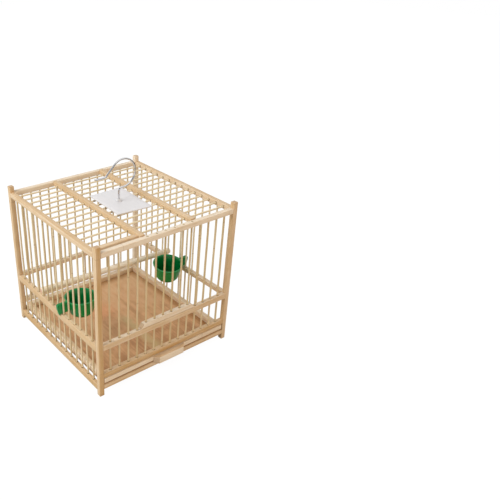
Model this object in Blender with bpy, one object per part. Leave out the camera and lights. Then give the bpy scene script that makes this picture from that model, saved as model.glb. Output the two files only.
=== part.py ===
"""A small bamboo birdcage: four posts, rails, thin bars and roof rods, with a lifting door,
a slide-out tray, a perch, two hanging cups and a wire hook on a plate over the roof rods."""

import math

import bmesh
import bpy
from mathutils import Matrix, Vector

# Driving dimensions, in metres
CAGE_WIDTH = 0.250
CAGE_DEPTH = 0.2548
CAGE_HEIGHT = 0.248
STOCK = 0.0077
FIT = 0.0003
OVERRUN = 0.001
SHARP_ANGLE = math.radians(40)

# Bars and rods: the end bay is the space from a post to the first bar, as a share of the pitch
BAR_DIAMETER = 0.0029
BARS_PER_WALL = 14
END_BAY_SHARE = 0.89
BAR_SEAT = 0.0018
ROD_SEAT = 0.0030
BAR_SIDES = 8

# Posts
POST_CHAMFER = 0.0008

# Stub tenons at the rails' ends, as shares of the rail's own section, and the wall left between
# the two mortises that meet in a post
TENON_SHARE = 0.31
MORTISE_WEB = 0.0005

# Top rails
TOP_RAIL_DROP = 0.0094
TOP_RAIL_HEIGHT = 0.0076

# Mid rails, each by its underside and its height
FRONT_MID_UNDERSIDE = 0.0812
FRONT_MID_HEIGHT = 0.0090
BACK_MID_UNDERSIDE = 0.0833
BACK_MID_HEIGHT = 0.0072
LEFT_MID_UNDERSIDE = 0.0777
LEFT_MID_HEIGHT = 0.0103
RIGHT_MID_UNDERSIDE = 0.0828
RIGHT_MID_HEIGHT = 0.0069

# Side bottom rails, the strips that carry the tray, and the rails over the tray
SIDE_BOTTOM_UNDERSIDE = 0.0085
SIDE_BOTTOM_HEIGHT = 0.0090
LOWER_STRIP_UNDERSIDE = 0.0112
LOWER_STRIP_HEIGHT = 0.0076
OVER_TRAY_RAIL_HEIGHT = 0.0078

# Roof rods, battens and the short strip at the front left
ROD_HEIGHT_SHARE = 0.54
BATTEN_CENTRE = 0.0447
BATTEN_HEIGHT = 0.0077
BATTEN_ROD_SHARE = 0.30

# Lifting door
DOOR_BARS = 6
DOOR_BATTEN_HEIGHT = 0.0073
DOOR_OVERHANG_SHARE = 0.65
DOOR_BEVEL = 0.0040

# Tray, which lies a little to the left; its right and back strips are wider than the others
TRAY_PLAY = 0.0029
TRAY_SHIFT = -0.0009
TRAY_FLOOR_THICKNESS = 0.0030
TRAY_FLOOR_SETBACK = 0.0006
TRAY_SIDE_HEIGHT = 0.0088
TRAY_WIDE_STRIP = 0.0092
TRAY_FRONT_HEIGHT = 0.0077
TRAY_BACK_GAP = 0.0007
TRAY_HEADROOM = 0.0005
TRAY_FLOOR_TAIL = 0.0050
PULL_WIDTH = 0.0600
PULL_HEIGHT = 0.0118
PULL_DEPTH = 0.0080
PULL_BEVEL = 0.0060
PULL_OFFSET = 0.0039

# Perch: the bays it passes through, counted from the front, and how far its ends reach
PERCH_DIAMETER = 0.0096
PERCH_LEFT_BAY = 10
PERCH_RIGHT_BAY = 9
PERCH_OVERHANG = 0.0050
PERCH_END_ROUND = 0.0016
PERCH_SIDES = 16

# Cups: a turned bowl with a tongue that hooks over the mid rail, in the bay counted from the front
CUP_DIAMETER = 0.0476
CUP_FOOT_DIAMETER = 0.0404
CUP_HEIGHT = 0.0333
CUP_WALL = 0.0014
CUP_BOTTOM_RADIUS = 0.0112
CUP_RIM_FLARE = 0.0014
CUP_RIM_HEIGHT = 0.0022
CUP_BAY = 6
CUP_REACH = 0.0340
CUP_SIDES = 28
CUP_CORNER_STEPS = 5
TONGUE_THICKNESS = 0.0050
TONGUE_HEIGHT = 0.0170
TONGUE_REACH = 0.0046
TONGUE_LIP = 0.0020
TONGUE_LIP_GAP = 0.0010
TONGUE_LIP_THICKNESS = 0.0016
TONGUE_SHOULDER_SHARE = 0.85
TONGUE_ROOT_SHARE = 0.4
TONGUE_RIM_DROP = 0.0006

# How each cup hangs: along its bay, leaning to the front, and dipping into the cage
CUP_SHIFT = {"left": -0.0032, "right": 0}
CUP_ROLL = {"left": math.radians(-2.2), "right": math.radians(7.3)}
CUP_SAG = {"left": 0, "right": math.radians(2.8)}

# Roof plate, its clamp under the rods, the fasteners and the hook
PLATE_LEFT_LENGTH = 0.0810
PLATE_RIGHT_LENGTH = 0.0880
PLATE_WIDTH = 0.0590
PLATE_THICKNESS = 0.0015
PLATE_TURN = math.radians(-2.0)
PLATE_OFFSET_X = 0.0017
PLATE_OFFSET_Y = -0.0002
HOOK_X = -0.0026
HOOK_Y = -0.0029
CLAMP_WIDTH = 0.0240
CLAMP_LENGTH = 0.0280
CLAMP_THICKNESS = 0.0012
WASHER_DIAMETER = 0.0100
WASHER_THICKNESS = 0.0008
NUT_ACROSS = 0.0055
NUT_HEIGHT = 0.0024
NUT_SIDES = 6
WIRE_DIAMETER = 0.0030
WIRE_RESOLUTION = 3
HOLE_SIDES = 16
HOOK_SHANK_RISE = 0.0158
HOOK_SHANK_TAIL = 0.0010
HOOK_BEND_RADIUS = 0.0050
HOOK_BEND_RUN = 0.0031
HOOK_LOOP_RADIUS = 0.0221
HOOK_LOOP_TURN = math.radians(225)
HOOK_LEAD_LENGTH = 0.0197
HOOK_TIP_RADIUS = 0.0070
HOOK_TIP_LENGTH = 0.0156
BEND_STEP = math.radians(12)

# Places worked out from the sizes
HALF_WIDTH = CAGE_WIDTH / 2
HALF_DEPTH = CAGE_DEPTH / 2
INNER_X = HALF_WIDTH - STOCK
INNER_Y = HALF_DEPTH - STOCK
WALL_X = HALF_WIDTH - STOCK / 2
WALL_Y = HALF_DEPTH - STOCK / 2
BAR_RADIUS = BAR_DIAMETER / 2
BORE_RADIUS = BAR_RADIUS + FIT
FRONT_PITCH = 2 * INNER_X / (BARS_PER_WALL - 1 + 2 * END_BAY_SHARE)
SIDE_PITCH = 2 * INNER_Y / (BARS_PER_WALL - 1 + 2 * END_BAY_SHARE)
TENON_WIDTH = STOCK * TENON_SHARE
MORTISE_WIDTH = TENON_WIDTH + 2 * FIT
MORTISE_DEPTH = (STOCK - MORTISE_WIDTH) / 2 - MORTISE_WEB
TENON_LENGTH = MORTISE_DEPTH - FIT
TOP_RAIL_TOP = CAGE_HEIGHT - TOP_RAIL_DROP
TOP_RAIL_UNDERSIDE = TOP_RAIL_TOP - TOP_RAIL_HEIGHT
ROD_Z = TOP_RAIL_UNDERSIDE + TOP_RAIL_HEIGHT * ROD_HEIGHT_SHARE
BATTEN_UNDERSIDE = ROD_Z - BATTEN_HEIGHT * BATTEN_ROD_SHARE
LOWER_STRIP_TOP = LOWER_STRIP_UNDERSIDE + LOWER_STRIP_HEIGHT
TRAY_WIDTH = 2 * INNER_X - TRAY_PLAY
TRAY_BASE = LOWER_STRIP_TOP + FIT
TRAY_FLOOR_TOP = TRAY_BASE + TRAY_FLOOR_THICKNESS
TRAY_TOP = TRAY_FLOOR_TOP + FIT + TRAY_SIDE_HEIGHT
OVER_TRAY_UNDERSIDE = TRAY_TOP + TRAY_HEADROOM
LEFT_MID_TOP = LEFT_MID_UNDERSIDE + LEFT_MID_HEIGHT
RIGHT_MID_TOP = RIGHT_MID_UNDERSIDE + RIGHT_MID_HEIGHT
FRONT_MID_TOP = FRONT_MID_UNDERSIDE + FRONT_MID_HEIGHT
DOOR_UNDERSIDE = FRONT_MID_TOP + 2 * FIT
PLATE_UNDERSIDE = ROD_Z + BAR_RADIUS + FIT
PLATE_TOP = PLATE_UNDERSIDE + PLATE_THICKNESS
CLAMP_TOP = ROD_Z - BAR_RADIUS - FIT
CLAMP_UNDERSIDE = CLAMP_TOP - CLAMP_THICKNESS
LOWER_NUT_UNDERSIDE = CLAMP_UNDERSIDE - FIT - NUT_HEIGHT
WIRE_HOLE_RADIUS = WIRE_DIAMETER / 2 + FIT
LEFT_REACH = HALF_WIDTH + TONGUE_REACH
RIGHT_REACH = HALF_WIDTH + PERCH_OVERHANG

# Surface values: colour, roughness and metallic
BAMBOO = ("bamboo", (0.72, 0.52, 0.29), 0.5, 0.0)
BAMBOO_BAR = ("bamboo_bar", (0.74, 0.55, 0.34), 0.5, 0.0)
PLYWOOD = ("plywood", (0.56, 0.35, 0.19), 0.6, 0.0)
DOWEL = ("dowel", (0.70, 0.52, 0.36), 0.55, 0.0)
GREEN_PLASTIC = ("green_plastic", (0.0, 0.20, 0.09), 0.25, 0.0)
GREY_SHEET = ("grey_sheet", (0.78, 0.77, 0.78), 0.4, 0.0)
STEEL = ("steel", (0.62, 0.61, 0.62), 0.22, 1.0)


def clear_scene():
    for item in list(bpy.data.objects):
        bpy.data.objects.remove(item, do_unlink=True)


def material(finish):
    name, colour, roughness, metallic = finish
    found = bpy.data.materials.get(name)
    if found:
        return found
    made = bpy.data.materials.new(name)
    made.use_nodes = True
    shader = made.node_tree.nodes["Principled BSDF"]
    shader.inputs["Base Color"].default_value = (*colour, 1.0)
    shader.inputs["Roughness"].default_value = roughness
    shader.inputs["Metallic"].default_value = metallic
    return made


def place(name, shape, finish, location=(0, 0, 0), parent=None):
    """Turns a bmesh into a named object that hangs from its parent empty."""
    mesh = bpy.data.meshes.new(name)
    bmesh.ops.recalc_face_normals(shape, faces=shape.faces)
    shape.to_mesh(mesh)
    shape.free()
    piece = bpy.data.objects.new(name, mesh)
    bpy.context.scene.collection.objects.link(piece)
    piece.location = location
    piece.parent = parent
    if finish:
        mesh.materials.append(material(finish))
    return piece


def joint_empty(name, location, parent=None):
    empty = bpy.data.objects.new(name, None)
    bpy.context.scene.collection.objects.link(empty)
    empty.location = location
    empty.parent = parent
    return empty


def combine(piece, tool, operation):
    """Cuts or joins a helper shape into a piece, then removes the helper."""
    change = piece.modifiers.new(operation.lower(), "BOOLEAN")
    change.operation = operation
    change.solver = "EXACT"
    change.object = tool
    bpy.context.view_layer.update()
    bpy.context.view_layer.objects.active = piece
    bpy.ops.object.modifier_apply(modifier=change.name)
    bpy.data.objects.remove(tool, do_unlink=True)
    return piece


def round_off(piece):
    piece.data.shade_smooth()
    piece.data.set_sharp_from_angle(angle=SHARP_ANGLE)
    return piece


def box(low, high):
    """A box between two corners."""
    shape = bmesh.new()
    low = Vector(low)
    high = Vector(high)
    bmesh.ops.create_cube(shape, size=1)
    bmesh.ops.scale(shape, vec=high - low, verts=shape.verts)
    bmesh.ops.translate(shape, vec=(low + high) / 2, verts=shape.verts)
    return shape


AXIS_TURNS = {
    "X": Matrix.Rotation(math.radians(90), 4, "Y"),
    "Y": Matrix.Rotation(math.radians(-90), 4, "X"),
    "Z": Matrix.Identity(4),
}


def pegs(centres, radius, length, axis="Z", sides=BAR_SIDES):
    """Round pegs along one axis, centred on the given points, as one helper shape."""
    shape = bmesh.new()
    for centre in centres:
        turned = Matrix.Translation(centre) @ AXIS_TURNS[axis]
        bmesh.ops.create_cone(shape, cap_ends=True, segments=sides, radius1=radius,
                              radius2=radius, depth=length, matrix=turned)
    return shape


def prism(outline, thickness, place_point):
    """A flat outline given a thickness on both sides of its plane."""
    shape = bmesh.new()
    sides = []
    for side in (-thickness / 2, thickness / 2):
        sides.append([shape.verts.new(place_point(u, v, side)) for u, v in outline])
    shape.faces.new(sides[0])
    shape.faces.new(reversed(sides[1]))
    count = len(outline)
    for index in range(count):
        after = (index + 1) % count
        shape.faces.new((sides[0][index], sides[0][after], sides[1][after], sides[1][index]))
    return shape


def spread(count, pitch):
    """Evenly spaced places about zero."""
    return [(index - (count - 1) / 2) * pitch for index in range(count)]


def bay_centre(bay, pitch):
    """The middle of a bay between two neighbouring side bars, counted from the front."""
    return (bay - BARS_PER_WALL / 2) * pitch


FRONT_BARS = spread(BARS_PER_WALL, FRONT_PITCH)
SIDE_BARS = spread(BARS_PER_WALL, SIDE_PITCH)
DOOR_BAR_PLACES = spread(DOOR_BARS, FRONT_PITCH)
FIXED_UPPER_BARS = [x for x in FRONT_BARS if abs(x) > DOOR_BARS / 2 * FRONT_PITCH]


def rail(name, low, high, axis, cage):
    """A straight strip whose body ends at the given corners, with a stub tenon at each end."""
    piece = place(name, box(low, high), BAMBOO, parent=cage)
    centre = (Vector(low) + Vector(high)) / 2
    half = (Vector(high) - Vector(low)) / 2
    core = Vector([half[i] + TENON_LENGTH if "XYZ"[i] == axis else half[i] * TENON_SHARE
                   for i in range(3)])
    tenons = place(name + "_core", box(centre - core, centre + core), None, parent=cage)
    return combine(piece, tenons, "UNION")


def drill(piece, centres, radius, length, axis, cage):
    """Drills round holes; blind ones stop where the peg's far end lies."""
    bits = place(piece.name + "_bits", pegs(centres, radius, length, axis), None, parent=cage)
    return combine(piece, bits, "DIFFERENCE")


def drill_up(piece, places, underside, cage):
    """Blind holes into a rail from below, for bar tops."""
    depth = BAR_SEAT + FIT
    middle = underside + (depth - OVERRUN) / 2
    centres = [(x, y, middle) for x, y in places]
    return drill(piece, centres, BORE_RADIUS, depth + OVERRUN, "Z", cage)


def drill_down(piece, places, top, cage):
    """Blind holes into a rail from above, for bar feet."""
    depth = BAR_SEAT + FIT
    middle = top - (depth - OVERRUN) / 2
    centres = [(x, y, middle) for x, y in places]
    return drill(piece, centres, BORE_RADIUS, depth + OVERRUN, "Z", cage)


def wall_places(side):
    """The plan places of one wall's bars."""
    if side == "front":
        return [(x, -WALL_Y) for x in FRONT_BARS]
    if side == "back":
        return [(x, WALL_Y) for x in FRONT_BARS]
    x = -WALL_X if side == "left" else WALL_X
    return [(x, y) for y in SIDE_BARS]


def wall_rail(name, side, underside, height, cage):
    """A rail of one wall, between its two posts and flush with their outer faces."""
    top = underside + height
    if side in ("front", "back"):
        sign = -1 if side == "front" else 1
        near, far = sorted((sign * INNER_Y, sign * HALF_DEPTH))
        end = INNER_X - FIT
        return rail(name, (-end, near, underside), (end, far, top), "X", cage)
    sign = -1 if side == "left" else 1
    near, far = sorted((sign * INNER_X, sign * HALF_WIDTH))
    end = INNER_Y - FIT
    return rail(name, (near, -end, underside), (far, end, top), "Y", cage)


# Each wall's rails as (underside, height), from the bottom up
WALL_RAILS = {
    "front": {
        "lower": (LOWER_STRIP_UNDERSIDE, LOWER_STRIP_HEIGHT),
        "bottom": (OVER_TRAY_UNDERSIDE, OVER_TRAY_RAIL_HEIGHT),
        "mid": (FRONT_MID_UNDERSIDE, FRONT_MID_HEIGHT),
        "top": (TOP_RAIL_UNDERSIDE, TOP_RAIL_HEIGHT),
    },
    "back": {
        "lower": (LOWER_STRIP_UNDERSIDE, LOWER_STRIP_HEIGHT),
        "bottom": (OVER_TRAY_UNDERSIDE, OVER_TRAY_RAIL_HEIGHT),
        "mid": (BACK_MID_UNDERSIDE, BACK_MID_HEIGHT),
        "top": (TOP_RAIL_UNDERSIDE, TOP_RAIL_HEIGHT),
    },
    "left": {
        "bottom": (SIDE_BOTTOM_UNDERSIDE, SIDE_BOTTOM_HEIGHT),
        "mid": (LEFT_MID_UNDERSIDE, LEFT_MID_HEIGHT),
        "top": (TOP_RAIL_UNDERSIDE, TOP_RAIL_HEIGHT),
    },
    "right": {
        "bottom": (SIDE_BOTTOM_UNDERSIDE, SIDE_BOTTOM_HEIGHT),
        "mid": (RIGHT_MID_UNDERSIDE, RIGHT_MID_HEIGHT),
        "top": (TOP_RAIL_UNDERSIDE, TOP_RAIL_HEIGHT),
    },
}


def post(name, x_sign, y_sign, x_wall, y_wall, cage):
    """A square post with chamfered top edges and a mortise for each rail that meets it."""
    centre = Vector((x_sign * WALL_X, y_sign * WALL_Y, 0))
    half = STOCK / 2
    shape = box((-half, -half, 0), (half, half, CAGE_HEIGHT))
    top_edges = [edge for edge in shape.edges if all(v.co.z > CAGE_HEIGHT / 2 for v in edge.verts)]
    bmesh.ops.bevel(shape, geom=top_edges, offset=POST_CHAMFER, segments=1, affect="EDGES")
    piece = place(name, shape, BAMBOO, location=centre, parent=cage)
    cuts = bmesh.new()
    for walls, direction in ((x_wall, "Y"), (y_wall, "X")):
        for underside, height in WALL_RAILS[walls].values():
            middle = underside + height / 2
            rise = height * TENON_SHARE / 2 + FIT
            across = MORTISE_WIDTH / 2
            inner = half - MORTISE_DEPTH
            outer = half + OVERRUN
            sign = -x_sign if direction == "X" else -y_sign
            near, far = sorted((sign * inner, sign * outer))
            if direction == "X":
                cut = box((near, -across, middle - rise), (far, across, middle + rise))
            else:
                cut = box((-across, near, middle - rise), (across, far, middle + rise))
            add_to(cuts, cut)
    mortises = place(name + "_mortises", cuts, None, location=centre, parent=cage)
    return combine(piece, mortises, "DIFFERENCE")


def add_to(shape, extra):
    """Adds one bmesh to another."""
    mesh = bpy.data.meshes.new("extra")
    extra.to_mesh(mesh)
    extra.free()
    shape.from_mesh(mesh)
    bpy.data.meshes.remove(mesh)


def make_posts(cage):
    for x_sign, x_name in ((-1, "left"), (1, "right")):
        for y_sign, y_name in ((-1, "front"), (1, "back")):
            post(f"post_{y_name}_{x_name}", x_sign, y_sign, x_name, y_name, cage)


def make_lower_rails(cage):
    """The strips that carry the tray, and the rails that take the bars' feet."""
    for side, rails in WALL_RAILS.items():
        if "lower" in rails:
            underside, height = rails["lower"]
            wall_rail(f"lower_strip_{side}", side, underside, height, cage)
        underside, height = rails["bottom"]
        piece = wall_rail(f"bottom_rail_{side}", side, underside, height, cage)
        drill_down(piece, wall_places(side), underside + height, cage)


def make_top_rails(cage):
    """Top rails: blind holes for bar tops, through holes for the door's bars, and seats for rods."""
    underside, height = WALL_RAILS["front"]["top"]
    for side in ("front", "back", "left", "right"):
        piece = wall_rail(f"top_rail_{side}", side, underside, height, cage)
        if side == "front":
            drill_up(piece, [(x, -WALL_Y) for x in FIXED_UPPER_BARS], underside, cage)
            through = [(x, -WALL_Y, underside + height / 2) for x in DOOR_BAR_PLACES]
            drill(piece, through, BORE_RADIUS, height + 2 * OVERRUN, "Z", cage)
        else:
            drill_up(piece, wall_places(side), underside, cage)
        if side in ("left", "right"):
            sign = -1 if side == "left" else 1
            depth = ROD_SEAT + FIT
            middle = sign * (INNER_X + (depth - OVERRUN) / 2)
            seats = [(middle, y, ROD_Z) for y in SIDE_BARS]
            drill(piece, seats, BORE_RADIUS, depth + OVERRUN, "X", cage)
        if side in ("front", "back"):
            sign = -1 if side == "front" else 1
            mortise_battens(piece, sign, cage)


def mortise_battens(piece, sign, cage):
    """The two mortises in a front or back rail that take the roof battens' tenons."""
    cuts = bmesh.new()
    middle = BATTEN_UNDERSIDE + BATTEN_HEIGHT / 2
    rise = BATTEN_HEIGHT * TENON_SHARE / 2 + FIT
    near, far = sorted((sign * (INNER_Y - OVERRUN), sign * (INNER_Y + MORTISE_DEPTH)))
    for x in (-BATTEN_CENTRE, BATTEN_CENTRE):
        add_to(cuts, box((x - MORTISE_WIDTH / 2, near, middle - rise),
                         (x + MORTISE_WIDTH / 2, far, middle + rise)))
    combine(piece, place(piece.name + "_mortises", cuts, None, parent=cage), "DIFFERENCE")


def bars(name, places, low, high, cage):
    """Upright bars between two heights, as one helper or one piece."""
    centres = [(x, y, (low + high) / 2) for x, y in places]
    return place(name, pegs(centres, BAR_RADIUS, high - low), BAMBOO_BAR, parent=cage)


def make_bar_walls(cage):
    """Each wall's mid rail with the bars that are glued through it."""
    for side, rails in WALL_RAILS.items():
        underside, height = rails["mid"]
        comb = wall_rail(f"mid_rail_{side}", side, underside, height, cage)
        foot = sum(rails["bottom"]) - BAR_SEAT
        head = TOP_RAIL_UNDERSIDE + BAR_SEAT
        if side == "front":
            head = underside + height / 2
        combine(comb, bars(comb.name + "_bars", wall_places(side), foot, head, cage), "UNION")
    mid_top = FRONT_MID_TOP
    fixed = [(x, -WALL_Y) for x in FIXED_UPPER_BARS]
    drill_down(bpy.data.objects["mid_rail_front"], fixed, mid_top, cage)
    for index, spot in enumerate(fixed):
        low = mid_top - BAR_SEAT
        high = TOP_RAIL_UNDERSIDE + BAR_SEAT
        piece = bars(f"front_bar_{index + 1}", [(0, 0)], low, high, cage)
        piece.location = (*spot, 0)
        round_off(piece)


def make_roof(cage):
    """Roof rods across, two battens over them, and the short strip at the front left."""
    rod_half = INNER_X + ROD_SEAT
    for index, y in enumerate(SIDE_BARS):
        shape = pegs([(0, 0, 0)], BAR_RADIUS, 2 * rod_half, "X")
        rod = place(f"roof_rod_{index + 1:02d}", shape, BAMBOO_BAR, (0, y, ROD_Z), cage)
        round_off(rod)
    end = INNER_Y - FIT
    for side, x in (("left", -BATTEN_CENTRE), ("right", BATTEN_CENTRE)):
        low = (x - STOCK / 2, -end, BATTEN_UNDERSIDE)
        high = (x + STOCK / 2, end, BATTEN_UNDERSIDE + BATTEN_HEIGHT)
        batten = rail(f"roof_batten_{side}", low, high, "Y", cage)
        through = [(x, y, ROD_Z) for y in SIDE_BARS]
        drill(batten, through, BORE_RADIUS, STOCK + 2 * OVERRUN, "X", cage)
    back = SIDE_BARS[0] - BAR_RADIUS - FIT
    low = (-INNER_X + FIT, back - STOCK, TOP_RAIL_UNDERSIDE)
    high = (-BATTEN_CENTRE - STOCK / 2 - FIT, back, TOP_RAIL_TOP)
    place("roof_strip", box(low, high), BAMBOO, parent=cage)


def bevelled_outline(width, bevel, depth):
    """A strip's outline, cut back at both ends towards its shorter side."""
    half = width / 2
    return [(-half, 0), (half, 0), (half - bevel, depth), (bevel - half, depth)]


def make_door(cage):
    """The lifting door: a batten with its bars, which slide up through the top rail."""
    slide = joint_empty("door_lift", (0, -WALL_Y, DOOR_UNDERSIDE), cage)
    width = (DOOR_BARS - 1 + 2 * DOOR_OVERHANG_SHARE) * FRONT_PITCH
    outline = bevelled_outline(width, DOOR_BEVEL, DOOR_BATTEN_HEIGHT)
    batten = prism(outline, STOCK, lambda u, v, side: (u, side, v))
    door = place("door", batten, BAMBOO, parent=slide)
    height = TOP_RAIL_TOP - DOOR_UNDERSIDE
    low = DOOR_BATTEN_HEIGHT / 2
    uprights = bars("door_bars", [(x, 0) for x in DOOR_BAR_PLACES], low, height, slide)
    combine(door, uprights, "UNION")


def make_tray(cage):
    """The slide-out tray: a thin floor with strips round it and a pull on its front."""
    slide = joint_empty("tray_slide", (TRAY_SHIFT, -HALF_DEPTH, TRAY_BASE), cage)
    floor_thickness = TRAY_FLOOR_THICKNESS
    half = TRAY_WIDTH / 2
    strip_base = floor_thickness + FIT
    strip_top = strip_base + TRAY_SIDE_HEIGHT
    tray_back = HALF_DEPTH + INNER_Y - TRAY_BACK_GAP
    place("tray_floor", box((-half, TRAY_FLOOR_SETBACK, 0),
                            (half, tray_back + TRAY_FLOOR_TAIL, floor_thickness)),
          PLYWOOD, parent=slide)
    place("tray_front_strip", box((-half, 0, strip_base), (half, STOCK, strip_base + TRAY_FRONT_HEIGHT)),
          BAMBOO, parent=slide)
    start = STOCK + FIT
    left_inner = STOCK - half
    right_inner = half - TRAY_WIDE_STRIP
    place("tray_strip_left", box((-half, start, strip_base), (left_inner, tray_back, strip_top)),
          BAMBOO, parent=slide)
    place("tray_strip_right", box((right_inner, start, strip_base), (half, tray_back, strip_top)),
          BAMBOO, parent=slide)
    back_low = (left_inner + FIT, tray_back - TRAY_WIDE_STRIP, strip_base)
    back_high = (right_inner - FIT, tray_back, strip_top)
    place("tray_strip_back", box(back_low, back_high), BAMBOO, parent=slide)
    pull = prism(bevelled_outline(PULL_WIDTH, PULL_BEVEL, PULL_DEPTH), PULL_HEIGHT,
                 lambda u, v, side: (u, -v, side))
    pull_middle = strip_base + TRAY_FRONT_HEIGHT - PULL_HEIGHT / 2
    place("tray_pull", pull, BAMBOO, (PULL_OFFSET, -FIT, pull_middle), slide)


def make_perch(cage):
    """The perch lies on the two side mid rails and passes out between their bars."""
    radius = PERCH_DIAMETER / 2
    left = Vector((-WALL_X, bay_centre(PERCH_LEFT_BAY, SIDE_PITCH), LEFT_MID_TOP + radius + FIT))
    right = Vector((WALL_X, bay_centre(PERCH_RIGHT_BAY, SIDE_PITCH), RIGHT_MID_TOP + radius + FIT))
    direction = (right - left).normalized()
    start = left
    finish = right + direction * (RIGHT_REACH - WALL_X) / direction.x
    slide = joint_empty("perch_lift", left, cage)
    shape = pegs([(0, 0, 0)], radius, (finish - start).length, "Z", PERCH_SIDES)
    ends = [edge for edge in shape.edges if abs(edge.verts[0].co.z - edge.verts[1].co.z) < FIT]
    bmesh.ops.bevel(shape, geom=ends, offset=PERCH_END_ROUND, segments=2, affect="EDGES")
    perch = place("perch", shape, DOWEL, (finish + start) / 2 - left, slide)
    perch.rotation_euler = direction.to_track_quat("Z", "X").to_euler()
    round_off(perch)


def cup_radius(height):
    """The bowl's outer radius at a height above its rounded foot; the wall leans outwards."""
    share = (height - CUP_BOTTOM_RADIUS) / (CUP_HEIGHT - CUP_RIM_HEIGHT - CUP_BOTTOM_RADIUS)
    return CUP_FOOT_DIAMETER / 2 + share * (CUP_DIAMETER - CUP_FOOT_DIAMETER) / 2


def cup_profile():
    """The bowl's outline as (radius, height) from the bottom's centre out, up, and back in."""
    outer = CUP_DIAMETER / 2
    foot = CUP_FOOT_DIAMETER / 2
    rim = outer + CUP_RIM_FLARE
    rim_base = CUP_HEIGHT - CUP_RIM_HEIGHT
    corner = CUP_BOTTOM_RADIUS
    inner_corner = corner - CUP_WALL
    steps = CUP_CORNER_STEPS
    points = [(0, 0)]
    for index in range(steps + 1):
        angle = math.radians(-90 + 90 * index / steps)
        points.append((foot - corner + corner * math.cos(angle), corner + corner * math.sin(angle)))
    points.append((outer, rim_base))
    points.append((rim, rim_base))
    points.append((rim, CUP_HEIGHT))
    points.append((rim - CUP_WALL, CUP_HEIGHT))
    points.append((outer - CUP_WALL, rim_base))
    for index in range(steps + 1):
        angle = math.radians(-90 * index / steps)
        points.append((foot - corner + inner_corner * math.cos(angle),
                       corner + inner_corner * math.sin(angle)))
    points.append((0, CUP_WALL))
    return points


def turned(profile, sides):
    """A closed solid from a profile turned about the upright axis."""
    shape = bmesh.new()
    rings = []
    for radius, height in profile:
        if radius == 0:
            rings.append([shape.verts.new((0, 0, height))])
            continue
        turns = [2 * math.pi * index / sides for index in range(sides)]
        rings.append([shape.verts.new((radius * math.cos(t), radius * math.sin(t), height))
                      for t in turns])
    for lower, upper in zip(rings, rings[1:]):
        for index in range(sides):
            after = (index + 1) % sides
            corners = [lower[index % len(lower)], lower[after % len(lower)],
                       upper[after % len(upper)], upper[index % len(upper)]]
            shape.faces.new(list(dict.fromkeys(corners)))
    return shape


def cup_tongue():
    """The upright tongue at the rim: over the mid rail, then down behind it with a small lip."""
    rail_outer = CUP_REACH + STOCK / 2
    tip = rail_outer + TONGUE_REACH
    lip = rail_outer + TONGUE_LIP_GAP
    lip_end = lip + TONGUE_LIP_THICKNESS
    head = CUP_HEIGHT - TONGUE_RIM_DROP
    root_low = cup_radius(head - TONGUE_HEIGHT) - CUP_WALL * TONGUE_ROOT_SHARE
    root_high = cup_radius(head) - CUP_WALL * TONGUE_ROOT_SHARE
    shoulder = TONGUE_HEIGHT * TONGUE_SHOULDER_SHARE
    corner = TONGUE_HEIGHT - shoulder
    outline = [(root_low, 0), (lip, 0), (lip, -TONGUE_LIP), (lip_end, -TONGUE_LIP),
               (tip, shoulder), (tip - corner, TONGUE_HEIGHT), (root_high, TONGUE_HEIGHT)]
    return prism(outline, TONGUE_THICKNESS, lambda u, v, side: (u, side, v))


def make_cup(side, cage):
    """A cup that hangs on a side mid rail by its tongue, which passes between two bars."""
    sign = -1 if side == "left" else 1
    rest_z = (LEFT_MID_TOP if side == "left" else RIGHT_MID_TOP) + FIT
    roll = CUP_ROLL[side]
    sag = CUP_SAG[side]
    lift = TONGUE_THICKNESS / 2 * math.sin(abs(roll)) + STOCK / 2 * math.sin(sag)
    along = bay_centre(CUP_BAY, SIDE_PITCH) + CUP_SHIFT[side]
    rest = Vector((sign * WALL_X, along, rest_z + lift))
    slide = joint_empty(f"cup_{side}_lift", rest, cage)
    slide.rotation_euler = (roll, -sag, 0)
    base_z = TONGUE_HEIGHT + TONGUE_RIM_DROP - CUP_HEIGHT
    bowl = place(f"cup_{side}", turned(cup_profile(), CUP_SIDES), GREEN_PLASTIC,
                 (-sign * CUP_REACH, 0, base_z), slide)
    tongue = place("tongue", cup_tongue(), None, (-sign * CUP_REACH, 0, 0), slide)
    if sign < 0:
        tongue.rotation_euler = (0, 0, math.pi)
    combine(bowl, tongue, "UNION")
    round_off(bowl)


def holed(name, shape, finish, location, thickness, parent):
    """A flat piece with the hook wire's hole through its middle."""
    piece = place(name, shape, finish, location, parent)
    bit = pegs([(0, 0, 0)], WIRE_HOLE_RADIUS, thickness + 2 * OVERRUN, "Z", HOLE_SIDES)
    return combine(piece, place(name + "_bit", bit, None, location, parent), "DIFFERENCE")


def make_roof_plate(cage):
    """The plate over the rods and the smaller plate that clamps it from below."""
    half_width = PLATE_WIDTH / 2
    corners = [(-half_width, -PLATE_LEFT_LENGTH / 2), (half_width, -PLATE_RIGHT_LENGTH / 2),
               (half_width, PLATE_RIGHT_LENGTH / 2), (-half_width, PLATE_LEFT_LENGTH / 2)]
    turn = Matrix.Rotation(PLATE_TURN, 2)
    offset = Vector((PLATE_OFFSET_X, PLATE_OFFSET_Y))
    outline = [turn @ Vector(corner) + offset for corner in corners]
    plate = prism(outline, PLATE_THICKNESS, lambda u, v, side: (u, v, side))
    middle = PLATE_UNDERSIDE + PLATE_THICKNESS / 2
    holed("roof_plate", plate, GREY_SHEET, (HOOK_X, HOOK_Y, middle), PLATE_THICKNESS, cage)
    half = CLAMP_THICKNESS / 2
    corner = Vector((CLAMP_WIDTH / 2, CLAMP_LENGTH / 2, half))
    clamp = box(-corner, corner)
    middle = CLAMP_UNDERSIDE + half
    holed("clamp_plate", clamp, STEEL, (HOOK_X, HOOK_Y, middle), CLAMP_THICKNESS, cage)


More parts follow.
